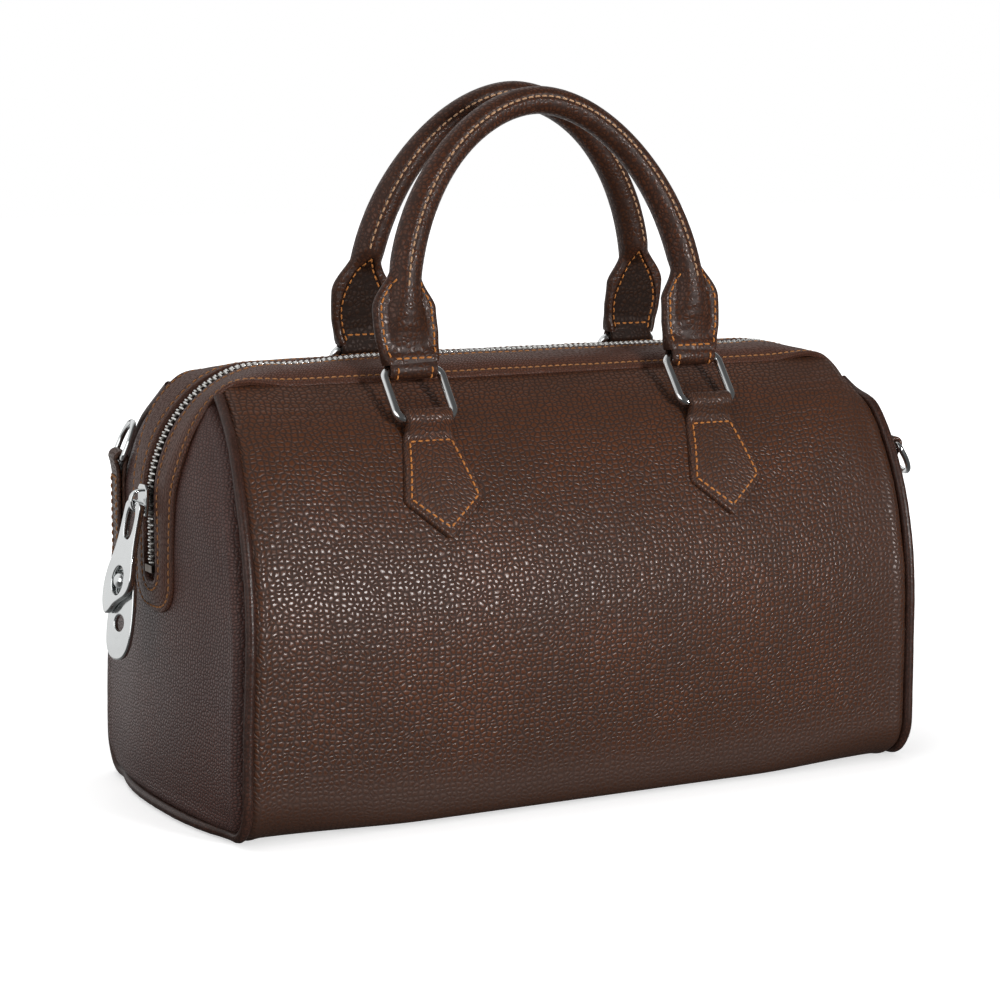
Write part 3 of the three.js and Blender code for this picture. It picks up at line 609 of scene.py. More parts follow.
def add_node(tree, kind, inputs=None, **settings):
    node = tree.nodes.new(kind)
    for name, value in settings.items():
        setattr(node, name, value)
    for name, value in (inputs or {}).items():
        if isinstance(value, bpy.types.NodeSocket):
            tree.links.new(value, node.inputs[name])
        else:
            node.inputs[name].default_value = value
    return node


def linear(red, green, blue):
    """A colour given as it looks on screen, from 0 to 255."""
    shares = [value / 255 for value in (red, green, blue)]
    return [s / 12.92 if s <= 0.04045 else ((s + 0.055) / 1.055) ** 2.4 for s in shares] + [1]


def mix(tree, factor, first, second):
    node = add_node(tree, "ShaderNodeMix", {0: factor, 6: first, 7: second}, data_type="RGBA")
    return node.outputs[2]


def spread(tree, value, low, high, to_low=0.0, to_high=1.0):
    inputs = {"Value": value, "From Min": low, "From Max": high, "To Min": to_low, "To Max": to_high}
    return add_node(tree, "ShaderNodeMapRange", inputs, interpolation_type="SMOOTHSTEP").outputs[0]


def calc(tree, operation, first, second):
    return add_node(tree, "ShaderNodeMath", {0: first, 1: second}, operation=operation).outputs[0]


def times(tree, first, second):
    return calc(tree, "MULTIPLY", first, second)


def plus(tree, first, second):
    return calc(tree, "ADD", first, second)


def vector_calc(tree, operation, first, second):
    return add_node(tree, "ShaderNodeVectorMath", {0: first, 1: second}, operation=operation).outputs[0]


def noise(tree, place, scale, detail=2.0, rough=0.5):
    inputs = {"Vector": place, "Scale": scale, "Detail": detail, "Roughness": rough}
    return add_node(tree, "ShaderNodeTexNoise", inputs)


def new_material(name):
    material = bpy.data.materials.new(name)
    material.use_nodes = True
    tree = material.node_tree
    place = add_node(tree, "ShaderNodeTexCoord").outputs["Object"]
    return material, tree, tree.nodes["Principled BSDF"], place


def connect(tree, surface, **sockets):
    for name, value in sockets.items():
        tree.links.new(value, surface.inputs[name.replace("_", " ")])


def worn_and_shade_mask(tree, place):
    """How far the grain is worn smooth and the colour darkened: most along its lower edge, less at the right
    side. The darker colour along the lower edge is painted shade, where the bottom curves under.
    """
    split = add_node(tree, "ShaderNodeSeparateXYZ", {"Vector": place})
    low = spread(tree, split.outputs[2], 0.045, 0.002)
    right = spread(tree, split.outputs[0], 0.1, 0.16, 0.0, 0.6)
    return calc(tree, "MAXIMUM", low, right)


def pebbles(tree, spot, cells, flat):
    """Height of the grain's rounded pebbles, and how far painted shade darkens the creases between them."""
    bend = noise(tree, spot, cells * 0.4).outputs[1]
    push = vector_calc(tree, "SUBTRACT", bend, (0.5, 0.5, 0.5))
    push = vector_calc(tree, "MULTIPLY", push, (1.0 / cells, 1.0 / cells, 1.0 / cells))
    warped = vector_calc(tree, "ADD", spot, push)
    scaled = vector_calc(tree, "MULTIPLY", warped, (cells, GRAIN_STRETCH * cells, cells))
    inputs = {"Vector": scaled, "Scale": 1.0, "Randomness": GRAIN_DISORDER}
    size = "2D" if flat else "3D"
    middle = add_node(tree, "ShaderNodeTexVoronoi", inputs, voronoi_dimensions=size).outputs["Distance"]
    rims = add_node(tree, "ShaderNodeTexVoronoi", inputs, voronoi_dimensions=size, feature="DISTANCE_TO_EDGE")
    rim = rims.outputs["Distance"]
    dome = plus(tree, times(tree, spread(tree, middle, 0.7, 0.1), 0.6), 0.4)
    return times(tree, dome, spread(tree, rim, 0.0, 0.3)), spread(tree, rim, 0.28, 0.02)


def leather(name, base, crease, warm, cells, height, gloss, specular, flat=True, rubbed_and_shaded=False):
    """Grained leather: pebbles per metre, height of the grain in metres, gloss as two roughnesses."""
    material, tree, surface, place = new_material(name)
    spot = add_node(tree, "ShaderNodeUVMap", uv_map="flat").outputs[0] if flat else place
    pebble, dark = pebbles(tree, spot, cells, flat)
    fine = noise(tree, spot, cells * 4).outputs[0]
    broad = noise(tree, place, 24, 3.0, 0.6).outputs[0]
    tone = mix(tree, spread(tree, broad, 0.35, 0.7), linear(*base), linear(*warm))
    if rubbed_and_shaded:
        worn_and_shaded = worn_and_shade_mask(tree, place)
        grain = spread(tree, worn_and_shaded, 0.0, 1.0, 1.0, WORN_GRAIN)
        pebble = times(tree, pebble, grain)
        dark = times(tree, dark, grain)
        # the darker tone here is painted shade along the lower edge, and darker leather at the right side
        tone = mix(tree, worn_and_shaded, tone, linear(*[PAINTED_SHADE_TONE * part for part in warm]))
    # the crease colour is painted shade in the creases between the pebbles
    colour = mix(tree, dark, tone, linear(*crease))
    relief = plus(tree, pebble, times(tree, fine, 0.03))
    inputs = {"Height": relief, "Distance": height, "Strength": 1.0}
    bump = add_node(tree, "ShaderNodeBump", inputs).outputs[0]
    polish = plus(tree, pebble, times(tree, broad, 0.2))
    rough = spread(tree, polish, 0.2, 0.95, *gloss)
    connect(tree, surface, Base_Color=colour, Roughness=rough, Normal=bump)
    surface.inputs["Specular IOR Level"].default_value = specular
    return material


def metal(name, colour, low, high, streak):
    material, tree, surface, place = new_material(name)
    cloud = noise(tree, place, streak, 4.0).outputs[0]
    tint = mix(tree, cloud, linear(*colour), linear(*[min(c + 22, 255) for c in colour]))
    bump = add_node(tree, "ShaderNodeBump", {"Height": cloud, "Distance": 0.00003, "Strength": 0.4})
    connect(tree, surface, Base_Color=tint, Roughness=spread(tree, cloud, 0.2, 0.8, low, high))
    connect(tree, surface, Normal=bump.outputs[0])
    surface.inputs["Metallic"].default_value = 1.0
    return material


def fabric(name, colour, shade, threads, depth=0.0001):
    """A plain weave from two crossing sets of waves."""
    material, tree, surface, place = new_material(name)
    bands = []
    for direction in ("X", "Z"):
        inputs = {"Vector": place, "Scale": threads, "Distortion": 0.6, "Detail": 1.0}
        bands.append(add_node(tree, "ShaderNodeTexWave", inputs, bands_direction=direction).outputs[1])
    weave = times(tree, bands[0], bands[1])
    cloud = noise(tree, place, 40, 3.0).outputs[0]
    share = times(tree, plus(tree, weave, cloud), 0.5)
    tone = mix(tree, share, linear(*shade), linear(*colour))
    bump = add_node(tree, "ShaderNodeBump", {"Height": weave, "Distance": depth, "Strength": 0.8})
    connect(tree, surface, Base_Color=tone, Normal=bump.outputs[0])
    connect(tree, surface, Roughness=spread(tree, cloud, 0.0, 1.0, 0.75, 0.95))
    return material


# each leather's second colour is painted shade for the creases of its grain
body_leather = leather(
    "body_leather", (67, 38, 22), (41, 22, 12), (78, 43, 24), 400, 0.00018, (0.7, 0.28), 0.35, rubbed_and_shaded=True
)
end_leather = leather(
    "end_leather", (72, 47, 42), (48, 30, 26), (80, 51, 44), 560, 0.0002, (0.55, 0.3), 0.32
)
trim_leather = leather(
    "trim_leather", (68, 41, 26), (44, 25, 16), (78, 45, 28), 420, 0.00016, (0.7, 0.3), 0.36
)
facing_leather = leather(
    "facing_leather", (73, 43, 31), (52, 30, 21), (84, 50, 36), 620, 0.00011, (0.6, 0.34), 0.25
)
handle_leather = leather(
    "handle_leather", (58, 33, 20), (42, 23, 14), (70, 39, 24), 480, 0.0001, (0.5, 0.28), 0.23, flat=False
)
piping_leather = leather(
    "piping_leather", (56, 34, 27), (40, 24, 18), (64, 39, 30), 620, 0.00005, (0.4, 0.28), 0.25, flat=False
)
# darker leather for the handle ends' inner patches and the backs of their loops: painted shade on these
# recessed faces
shaded_patch_leather = leather(
    "shaded_patch_leather", (40, 24, 15), (28, 16, 10), (50, 30, 18), 480, 0.0001, (0.6, 0.45), 0.1, flat=False
)
orange_thread = fabric("orange_thread", (200, 130, 60), (152, 90, 38), 1400)
tan_thread = fabric("tan_thread", (176, 122, 72), (124, 82, 46), 1400)
pale_thread = fabric("pale_thread", (196, 160, 126), (150, 112, 80), 1400)
zip_tape = fabric("zip_tape", (48, 32, 24), (24, 15, 11), 900)
lining_cloth = fabric("lining_cloth", (150, 118, 86), (112, 84, 58), 700)
board_stock = fabric("board_stock", (118, 104, 88), (92, 80, 66), 300)
rope_core = fabric("rope_core", (208, 196, 164), (160, 146, 112), 500, 0.0003)
chrome = metal("chrome", (206, 208, 208), 0.08, 0.2, 90)
zip_metal = metal("zip_metal", (206, 205, 202), 0.2, 0.34, 240)
stop_metal = metal("stop_metal", (96, 88, 80), 0.3, 0.5, 240)


# Panels, piping and lining

def front_grid(gap, rows, columns):
    """Points of the front between its side seams, and each point's share and way to a seam."""
    shares = eased_shares(rows, 0.5)
    heights = section(shares)[1]
    left = gap - seam_x(heights, LEFT_SEAMS)[:, None]
    right = seam_x(heights, RIGHT_SEAMS)[:, None] - gap
    x = left + (right - left) * eased_shares(columns)[None, :]
    share = np.broadcast_to(shares[:, None], x.shape)
    return front_point(x, share), share, np.minimum(x - left, right - x)


def foot_fill(along, edge):
    """How far the lower corner is pressed out of its quarter circle towards the floor and the front."""
    angle = np.minimum(along / BASE_CORNER, QUARTER)
    power = 1 - FOOT_FILL * smooth(0, FOOT_REACH, edge)
    out = np.sin(angle) ** power - np.sin(angle)
    down = np.cos(angle) ** power - np.cos(angle)
    return BASE_CORNER * vector(0, -out, -down)


def front_panel():
    grid, share, edge = front_grid(SEAM_GAP, 130, 200)
    height = section(share)[1]
    along = share * SECTION_LENGTH
    grid = grid + foot_fill(along, edge)
    swell = PANEL_SWELL * waves(grid[..., 0], along, 31) * smooth(10, 40, height)
    corner = window(*CORNER_EDGES, edge)
    puff = CORNER_PUFF * corner * window(*CORNER_HEIGHTS, height)
    folds = CORNER_FOLD * np.sin(height * 1.7 + 0.8 * waves(grid[..., 0], along, 9))
    puff = puff + folds * corner * window(*FOLD_HEIGHTS, height)
    grid = grid + (swell + puff)[..., None] * normals_of(grid)
    rolled = pucker(grid, edge, along, **FRONT_PUCKER)
    shape = Shape()
    slab(shape, rolled, rolled - PANEL * normals_of(rolled))
    return shape


def bottom_panel():
    y = ((HALF_DEPTH - BASE_CORNER - 0.4) * eased(40))[:, None]
    bow = END_BOW * (1 - np.abs(y / (HALF_DEPTH - BASE_CORNER)) ** END_POWER)
    x = (HALF_LENGTH - SEAM_GAP + bow) * eased(90)[None, :]
    grid = vector(x, y, 0)
    shape = Shape()
    slab(shape, grid, grid + np.array([0, 0, PANEL]))
    return shape


def end_shoulder(side, across, height):
    """How far an end rolls out beside a seam; the roll ends below the strap tab and the facing."""
    near, far = SHOULDER_WIDTHS
    roll = (1 - bell(side, near)) * bell(side, far)
    fade = np.where(across < 0, smooth(*FRONT_SHOULDER_TOP, height), smooth(*BACK_SHOULDER_TOP, height))
    return END_SHOULDER * roll * (1 - fade) * smooth(2, 20, height)


def across_end(half, slot, left, right, shares):
    """Places across an end between two edges; an edge that is None lies beside the zip's slot."""
    start = slot / half if left is None else left
    stop = -slot / half if right is None else right
    return start + (stop - start) * shares[None, :]


def end_panel(seams):
    """A lower part across the whole end, and an upper part on each side of the zip's slot."""
    shape = Shape()
    low = share_at(0.6)
    high = share_at(END_TOP)
    foot = share_at(TRACK_END_HEIGHT + 10)

    def part(shares, left, right, columns):
        share = np.broadcast_to(shares[:, None], (len(shares), columns))
        half = -seam_point(shares, seams)[:, 1][:, None]
        across = across_end(half, SLOT_HALF, left, right, eased_shares(columns, 0.6))
        grid = left_end_point(across, share, SEAM_GAP, seams)
        side = (1 - np.abs(across)) * half
        edge = np.minimum(side, grid[..., 2] - 1)
        swell = END_SWELL * waves(grid[..., 1], grid[..., 2], 23) * smooth(3, 25, edge)
        grid = grid + vector(-swell - end_shoulder(side, across, grid[..., 2]), 0, 0)
        rolled = pucker(grid, edge, share * SECTION_LENGTH, **END_PUCKER)
        slab(shape, rolled, rolled + np.array([PANEL, 0, 0]))

    lower = low + (foot - low) * eased_shares(70, 0.6)
    upper = np.linspace(foot, high, 60)
    part(lower, 1, -1, 100)
    part(upper, 1, None, 44)
    part(upper, None, -1, 44)
    return shape


def piping(seams):
    shares = share_at(arch_height(FACING_OUTER + 0.6)) * np.linspace(1, 0, 90)
    front = seam_point(shares, seams)
    front[:, 2] = np.maximum(front[:, 2], PIPING_RADIUS + 0.1)
    back = to_back(front[::-1])
    reach = np.linspace(-1, 1, 60)[1:-1]
    bow = END_BOW * (1 - np.abs(reach) ** END_POWER)
    across = vector(front[-1, 0] - bow, -reach * front[-1, 1], front[-1, 2])
    path = softened(np.concatenate([front, across, back]), 3)
    steps = np.linspace(0, 1, len(path))
    radius = PIPING_RADIUS * (1 + 0.03 * waves(steps * 900, steps * 700, 3))
    shape = Shape()
    tube(shape, path, radius, X_AXIS, 16)
    return shape


def both_ends(name, build, materials):
    """A piece of the left end, and the right end's drawn at the left and turned half round."""
    make(f"left_{name}_skin", build(LEFT_SEAMS), materials, "bag", [f"left_{name}"])
    turned = build(RIGHT_SEAMS).moved(half_turn)
    make(f"right_{name}_skin", turned, materials, "bag", [f"right_{name}"])


def hang_sheet(node, courses):
    """A sheet of lining in courses of grids side by side; the width and length it was cut to are worked out
    but not used.
    """
    shape = Shape()
    width = 0
    length = 0
    for course in courses:
        for grid in course:
            slab(shape, grid, grid - LINING * normals_of(grid))
            width = max(width, np.ptp(flat_of(grid)[..., 0]))
        length += max(np.ptp(flat_of(grid)[..., 1]) for grid in course)
    piece = make(f"{node}_cloth", shape, (lining_cloth,), "bag", [node])


front_shape = front_panel()
make("front_panel_skin", front_shape, (body_leather,), "bag", ["front_panel"])
make("back_panel_skin", front_shape.moved(to_back), (body_leather,), "bag", ["back_panel"])
make("bottom_panel_skin", bottom_panel(), (body_leather,), "bag", ["bottom_panel"])
both_ends("end_panel", end_panel, (end_leather,))
both_ends("piping", piping, (piping_leather,))


# Zip facings, tapes and teeth

def track_normals(along, across, out):
    return unit(on_track(along, across, out + 0.5) - on_track(along, across, out))


def facing_stations():
    """Inner and outer edge of a facing, from the middle of its foot on an end to the bag's middle."""
    foot = track_at(TRACK_END_HEIGHT) - FACING_END_DEPTH
    turn = np.linspace(0, QUARTER, 16)[:-1]
    down = np.linspace(foot, 0, 130)
    share = np.clip((foot - down) / (foot - FACING_TOP_END), 0, 1)
    straight_outer = FACING_END_OUTER + (FACING_OUTER - FACING_END_OUTER) * smooth(0, 0.6, share)
    inner = np.concatenate([FACING_INNER * np.sin(turn), np.full(len(down), FACING_INNER)])
    inner_along = np.concatenate([foot + FACING_INNER * np.cos(turn), down])
    outer = np.concatenate([FACING_END_OUTER * np.sin(turn) ** 0.75, straight_outer])
    outer_along = np.concatenate([foot + FACING_END_DEPTH * np.cos(turn) ** 0.75, down])
    return inner, inner_along, outer, outer_along


def facing_height(along, across, inner_edge, outer_edge):
    """Top of the padded facing above the track, with turned edges and a sunk row by each."""
    edge = np.minimum(inner_edge, outer_edge)
    thick = FACING_EDGE + (FACING - FACING_EDGE) * smooth(1, 8, outer_edge)
    rows = bell(outer_edge - OUTER_ROW, ROW_WIDTH) + bell(inner_edge - INNER_ROW, ROW_WIDTH)
    puff = 0.2 * waves(along, across, 5.5) * smooth(1, 4, edge)
    return thick * round_edge(edge, FACING_ROLL, 0.97) - 0.3 * rows + puff - zip_sag(along, across)


def facing(side_x, side_y):
    inner, inner_along, outer, outer_along = [row[:, None] for row in facing_stations()]
    width = np.hypot(outer - inner, outer_along - inner_along)
    columns = eased_shares(36, 0.7)[None, :]

    def at(share):
        across = inner + (outer - inner) * share
        along = inner_along + (outer_along - inner_along) * share
        return side_x * along, side_y * across

    along, across = at(columns)
    shape = Shape()
    top = on_track(along, across, facing_height(along, across, columns * width, (1 - columns) * width))
    low_along, low_across = at(columns * (1 - 0.8 / width))
    slab(shape, top, on_track(low_along, low_across, -FACING_SKIRT - zip_sag(low_along, low_across)))
    for share in (INNER_ROW / width, 1 - OUTER_ROW / width):
        row_along, row_across = [values[:, 0] for values in at(share)]
        row_out = facing_height(row_along, row_across, (share * width)[:, 0], ((1 - share) * width)[:, 0])
        outs = track_normals(row_along, row_across, row_out)
        stitches(shape, on_track(row_along, row_across, row_out), outs, thick=FINE_STITCH)
    return shape


def tape(side_x, side_y):
    reach = track_at(TEETH_END_HEIGHT) + 6
    along = side_x * np.linspace(reach, 0, 110)[:, None]
    across = side_y * np.linspace(TAPE_INNER, TAPE_OUTER, 8)[None, :]
    along, across = np.broadcast_arrays(along, across)
    sag = zip_sag(along, across)
    shape = Shape()
    slab(shape, on_track(along, across, -sag), on_track(along, across, -0.5 - sag))
    return shape


def teeth(side_x, side_y):
    """Interlocking metal teeth: each has a root on the tape, a waist and a rounded head."""
    reach = track_at(TEETH_END_HEIGHT)
    shape = Shape()
    offset = 0 if side_x * side_y > 0 else TOOTH_PITCH / 2
    turn = full_turn(8) + np.pi / 8
    flat = np.clip(1.15 * np.cos(turn), -1, 1)
    high = np.clip(1.15 * np.sin(turn), -1, 1)
    for middle in np.arange(offset + TOOTH_PITCH / 4, reach, TOOTH_PITCH):
        rings = []
        for across, half, low, top in TOOTH_SECTIONS:
            along = side_x * (middle + flat * half)
            out = (low + top) / 2 + high * (top - low) / 2 - zip_sag(along, across)
            rings.append(on_track(along, side_y * across, out))
        loft(shape, np.array(rings))
    return shape


FACING_LOOK = (facing_leather, tan_thread)
for side_x, end in ((-1, "left"), (1, "right")):
    for side_y, side in ((-1, "front"), (1, "back")):
        names = (
            ("facing", facing, FACING_LOOK, "trim_leather", [f"{side}_zip_facing", f"{end}_zip_facing"]),
            ("tape", tape, (zip_tape,), "tape", [f"{side}_zip_tape", f"{end}_zip_tape_{side}"]),
            ("teeth", teeth, (zip_metal,), "zip_metal", [f"{side}_zip_teeth", f"{end}_zip_teeth_{side}"]),
        )
        for kind, build, materials, slot, replaced in names:
            piece = make(f"{side}_{end}_zip_{kind}", build(side_x, side_y), materials, None, replaced)
            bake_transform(piece)


# Handles, rings and tabs

def handle_line():
    """The middle line of a handle in its own plane: x and height above the ring bars."""
    leg = np.linspace(2.5, HANDLE_LEG, 40)
    left = vector(-HANDLE_X - (HANDLE_SPREAD - HANDLE_X) * smooth(0, HANDLE_LEG, leg), leg)
    angle = np.linspace(np.pi, 0, 401)[1:-1]
    power = 2 / ARCH_POWER
    x = HANDLE_SPREAD * np.sign(np.cos(angle)) * np.abs(np.cos(angle)) ** power
    arch = vector(x, HANDLE_LEG + (HANDLE_HEIGHT - HANDLE_LEG) * np.sin(angle) ** power)
    right = left[::-1] * np.array([-1, 1])
    line = np.concatenate([left, arch, right])
    steps = lengths_along(line)
    return along_line(steps[-1] * eased_shares(320, 0.55), steps, line)


HANDLE_LINE = handle_line()
HANDLE_ALONG = tangents_of(HANDLE_LINE)
HANDLE_OUT = vector(-HANDLE_ALONG[:, 1], HANDLE_ALONG[:, 0])
HANDLE_RISE = HANDLE_LINE[:, 1]


def tube_radius(height):
    return HANDLE_RADIUS + (LEG_RADIUS - HANDLE_RADIUS) * (1 - smooth(45, 100, height))


def spade_half(height):
    """Half width of the leaf-shaped ends, and the tube's radius above them."""
    rise = NECK_HALF + (SPADE_HALF - NECK_HALF) * np.sqrt(np.clip(height / 14, 0, 1))
    tube_half = tube_radius(height)
    fall = tube_half + (SPADE_HALF - tube_half) * (1 - smooth(25, SPADE_TOP, height))
    return np.where(height < 22, rise, fall)


def patch_half(height):
    """Half width of the pointed patch on a handle end's inner face."""
    pointed = PATCH_HALF * (1 - np.clip((height - 16) / (SPADE_TOP - 15.5), 0, 1) ** 1.7)
    return np.minimum(spade_half(height) - PATCH_RIM, pointed)


def handle_face(place, height, inner):
    """Distance from the handle's middle plane to its face, at a place across it."""
    half = spade_half(height)
    radius = tube_radius(height)
    edge = np.maximum(half - np.abs(place), 0)
    thick = FLANGE + 1.6 * (1 - smooth(3.5, 10, height))
    flange = thick * round_edge(edge, FLANGE_ROLL)
    if inner:
        ridge = radius * smooth(SPADE_TOP - 12, SPADE_TOP + 4, height)
    else:
        ridge = 1.8 + (radius - 1.8) * smooth(3, 27, height)
    wide = radius + 3 * (1 - smooth(8, SPADE_TOP - 4, height))
    bump = ridge * np.sqrt(np.maximum(1 - (place / wide) ** 2, 0))
    face = (flange ** 4 + bump ** 4) ** 0.25
    row = radius * math.sin(HANDLE_ROWS[inner])
    groove = 0.45 * bell(place - row, ROW_WIDTH) * smooth(SPADE_TOP - 5, SPADE_TOP + 6, height)
    crease = 0.07 * waves(place * 2, height * 1.5, 1.6) * smooth(0, 2, edge)
    if inner:
        recess = smooth(0, 1, patch_half(height) - np.abs(place)) * smooth(2, 3.5, height)
        return face - groove + crease - recess
    fold = 0.13 * waves(place * 0.8 + 0.05 * place ** 2, height * 2.4 + 0.1 * place ** 2, 2.2)
    fold = fold * window(4, 8, 24, 34, height) * smooth(4, 8, edge)
    return face - groove + crease + fold


def in_handle(line, outward, place, face):
    """Points of the handle: place runs outward in its plane, face towards the front."""
    flat = line + place[..., None] * outward
    return vector(flat[..., 0], -face, flat[..., 1])


def handle_row(shape, chosen, place, inner, kind):
    """A row of thread on one face of the handle, along the chosen stations of its line."""
    face = handle_face(place, HANDLE_RISE[chosen], inner) + 0.05
    row = in_handle(HANDLE_LINE[chosen], HANDLE_OUT[chosen], place, -face if inner else face)
    centre = in_handle(HANDLE_LINE[chosen], HANDLE_OUT[chosen], place * 0, face * 0)
    tube_out = unit(row - centre)
    flat_out = Y_AXIS if inner else -Y_AXIS
    share = smooth(SPADE_TOP - 6, SPADE_TOP + 4, HANDLE_RISE[chosen])[:, None]
    stitches(shape, row, unit(flat_out + (tube_out - flat_out) * share), kind)


def handle_end(shape, leg):
    """Patch and stitching on one end of the handle; leg chooses its stations."""
    low = np.flatnonzero(leg & (HANDLE_RISE > 4) & (HANDLE_RISE < SPADE_TOP + 0.5))
    columns = eased(16, 0.5)[None, :]
    place = patch_half(HANDLE_RISE[low])[:, None] * columns
    tall = np.broadcast_to(HANDLE_RISE[low][:, None], place.shape)
    face = handle_face(place, tall, True)
    line = HANDLE_LINE[low][:, None]
    out = HANDLE_OUT[low][:, None]
    # the patch takes the darker leather, painted shade on the recessed inner face
    slab(shape, in_handle(line, out, place, -face - 0.12), in_handle(line, out, place, 0.4 - face), SHADED_LEATHER)
    sides = np.flatnonzero(leg & (HANDLE_RISE > 5.2) & (HANDLE_RISE < SPADE_TOP - 4))
    for edge in (-1, 1):
        handle_row(shape, sides, edge * (spade_half(HANDLE_RISE[sides]) - 2.9), False, THREAD)
        handle_row(shape, low, edge * np.maximum(patch_half(HANDLE_RISE[low]) - 1.1, 0), True, THREAD)


def handle_loop(shape, x):
    """The strap at one end of the handle that goes round its ring, with the stitching at its neck."""
    across = np.linspace(x - NECK_HALF + 2.2, x + NECK_HALF - 2.2, 12)
    for y, height in ((-1, 4.6), (1, 6.5)):
        row_face = handle_face(across - x, np.full(len(across), height), y > 0)
        stitches(shape, vector(across, y * row_face, height), y * Y_AXIS)
    turn = np.linspace(-0.15, np.pi + 0.15, 26)
    bend = vector(0, -LOOP_RADIUS * np.cos(turn), -LOOP_RADIUS * np.sin(turn))
    rise = np.linspace(3.4, 0.6, 6)[:, None]
    first = bend[0] + rise * np.array([0, 0.3, 1])
    last = bend[-1] + rise[::-1] * np.array([0, -0.3, 1])
    path = np.concatenate([first, bend, last]) + x * X_AXIS
    half = len(path) // 2
    strap(shape, path[:half + 1], 2 * NECK_HALF, X_AXIS, LOOP_THICK)
    # the loop's back half takes the darker leather, painted shade
    strap(shape, path[half:], 2 * NECK_HALF, X_AXIS, LOOP_THICK, SHADED_LEATHER)
    around = np.linspace(-0.3, 1.3, 10)
    reach = LOOP_RADIUS + 1
    for row_x in (x - NECK_HALF + 3, x + NECK_HALF - 3):
        outs = vector(0, -np.cos(around), -np.sin(around))
        stitches(shape, row_x * X_AXIS + reach * outs, outs)


def handle():
    shape = Shape()
    turn = full_turn(64)
    place = spade_half(HANDLE_RISE)[:, None] * np.cos(turn)
    tall = np.broadcast_to(HANDLE_RISE[:, None], place.shape)
    front = handle_face(place, tall, False)
    back = handle_face(place, tall, True)
    face = np.where(np.sin(turn) >= 0, front, -back)
    loft(shape, in_handle(HANDLE_LINE[:, None], HANDLE_OUT[:, None], place, face))
    for inner, start in ((False, SPADE_TOP - 8), (True, SPADE_TOP + 3)):
        steady = np.flatnonzero(HANDLE_RISE > start)
        place = tube_radius(HANDLE_RISE[steady]) * math.sin(HANDLE_ROWS[inner])
        handle_row(shape, steady, place, inner, PALE_THREAD)
    first_half = np.arange(len(HANDLE_LINE)) < len(HANDLE_LINE) // 2
    for leg, x in ((first_half, -HANDLE_X), (~first_half, HANDLE_X)):
        handle_end(shape, leg)
        handle_loop(shape, x)
    return shape


def rope():
    """The handle's core: three twisted strands."""
    shape = Shape()
    inside = np.flatnonzero(HANDLE_RISE > SPADE_TOP)
    turn = full_turn(18)
    twist = lengths_along(HANDLE_LINE[inside])[:, None] / 5
    radius = ROPE_RADIUS * (1 + 0.1 * np.cos(3 * (turn - twist)))
    line = HANDLE_LINE[inside][:, None]
    out = HANDLE_OUT[inside][:, None]
    loft(shape, in_handle(line, out, radius * np.cos(turn), radius * np.sin(turn)))
    return shape


def rounded_loop(width, height, radius):
    """A closed rounded rectangle in X and Z that stands on the X axis."""
    corners = ((1, 0, -QUARTER), (1, 1, 0), (-1, 1, QUARTER), (-1, 0, np.pi))
    points = []
    for side, top, start in corners:
        turn = np.linspace(start, start + QUARTER, 8)
        centre_x = side * (width / 2 - radius)
        centre_z = height - radius if top else radius
        points.append(vector(centre_x + radius * np.cos(turn), 0, centre_z + radius * np.sin(turn)))
    return np.concatenate(points)


def resampled(path, spacing):
    """The same closed path with points at even distances."""
    ring = np.concatenate([path, path[:1]])
    steps = lengths_along(ring)
    place = np.linspace(0, steps[-1], int(steps[-1] / spacing), endpoint=False)
    return along_line(place, steps, ring)


def handle_ring():
    shape = Shape()
    path = resampled(rounded_loop(RING_WIDTH - RING_WIRE, RING_SPAN, 4), 0.8)
    tube(shape, path, RING_WIRE / 2, Y_AXIS, 18, True)
    return shape


def tab_half(height):
    """Half width of a handle tab at a height on the front, with softened shoulders."""
    low = 1.2 + (TAB_WIDTH / 2 - 1.2) * (height - TAB_TIP) / (TAB_SHOULDER - TAB_TIP)
    rise = np.clip((TAB_NECK - height) / (TAB_NECK - TAB_SHOULDER), 0, 2)
    high = TAB_LOOP_WIDTH / 2 + (TAB_WIDTH - TAB_LOOP_WIDTH) / 2 * rise ** 0.85
    return -np.log(np.exp(-1.3 * low) + np.exp(-1.3 * high)) / 1.3


def tab_profile(x):
    """A tab's middle line in Y and Z from its tip, off the leather and round the ring's bar."""
    bar = np.array(RING_FOOT)
    foot = np.argmin(np.linalg.norm(SECTION - bar, axis=1))
    up = SECTION_TURN[foot]
    out = np.array([-up[1], up[0]])
    leave = (SECTION_STEPS[foot] - TAB_LEAVES) / SECTION_LENGTH
    shares = np.linspace(share_at(TAB_TIP), leave, 50)
    _, heights, turn_y, turn_z = section(shares)
    low = front_point(np.full(50, x), shares)[:, 1:] + 1.2 * vector(-turn_z, turn_y)
    start = math.radians(150)
    turn = np.linspace(start, math.radians(-60), 30)
    circle = bar + LOOP_RADIUS * (np.cos(turn)[:, None] * up + np.sin(turn)[:, None] * out)
    aim = math.sin(start) * up - math.cos(start) * out
    handles = [low[-1], low[-1] + 3 * vector(turn_y, turn_z)[-1], circle[0] - 2.2 * aim, circle[0]]
    t = np.linspace(0, 1, 14)[1:-1, None]
    weights = ((1 - t) ** 3, 3 * t * (1 - t) ** 2, 3 * t ** 2 * (1 - t), t ** 3)
    join = sum(weight * point for weight, point in zip(weights, handles))
    line = np.concatenate([low, join, circle])
    above = np.full(len(join) + len(circle), heights[-1])
    return line, np.concatenate([heights, above + lengths_along(line[len(low) - 1:])[1:]])


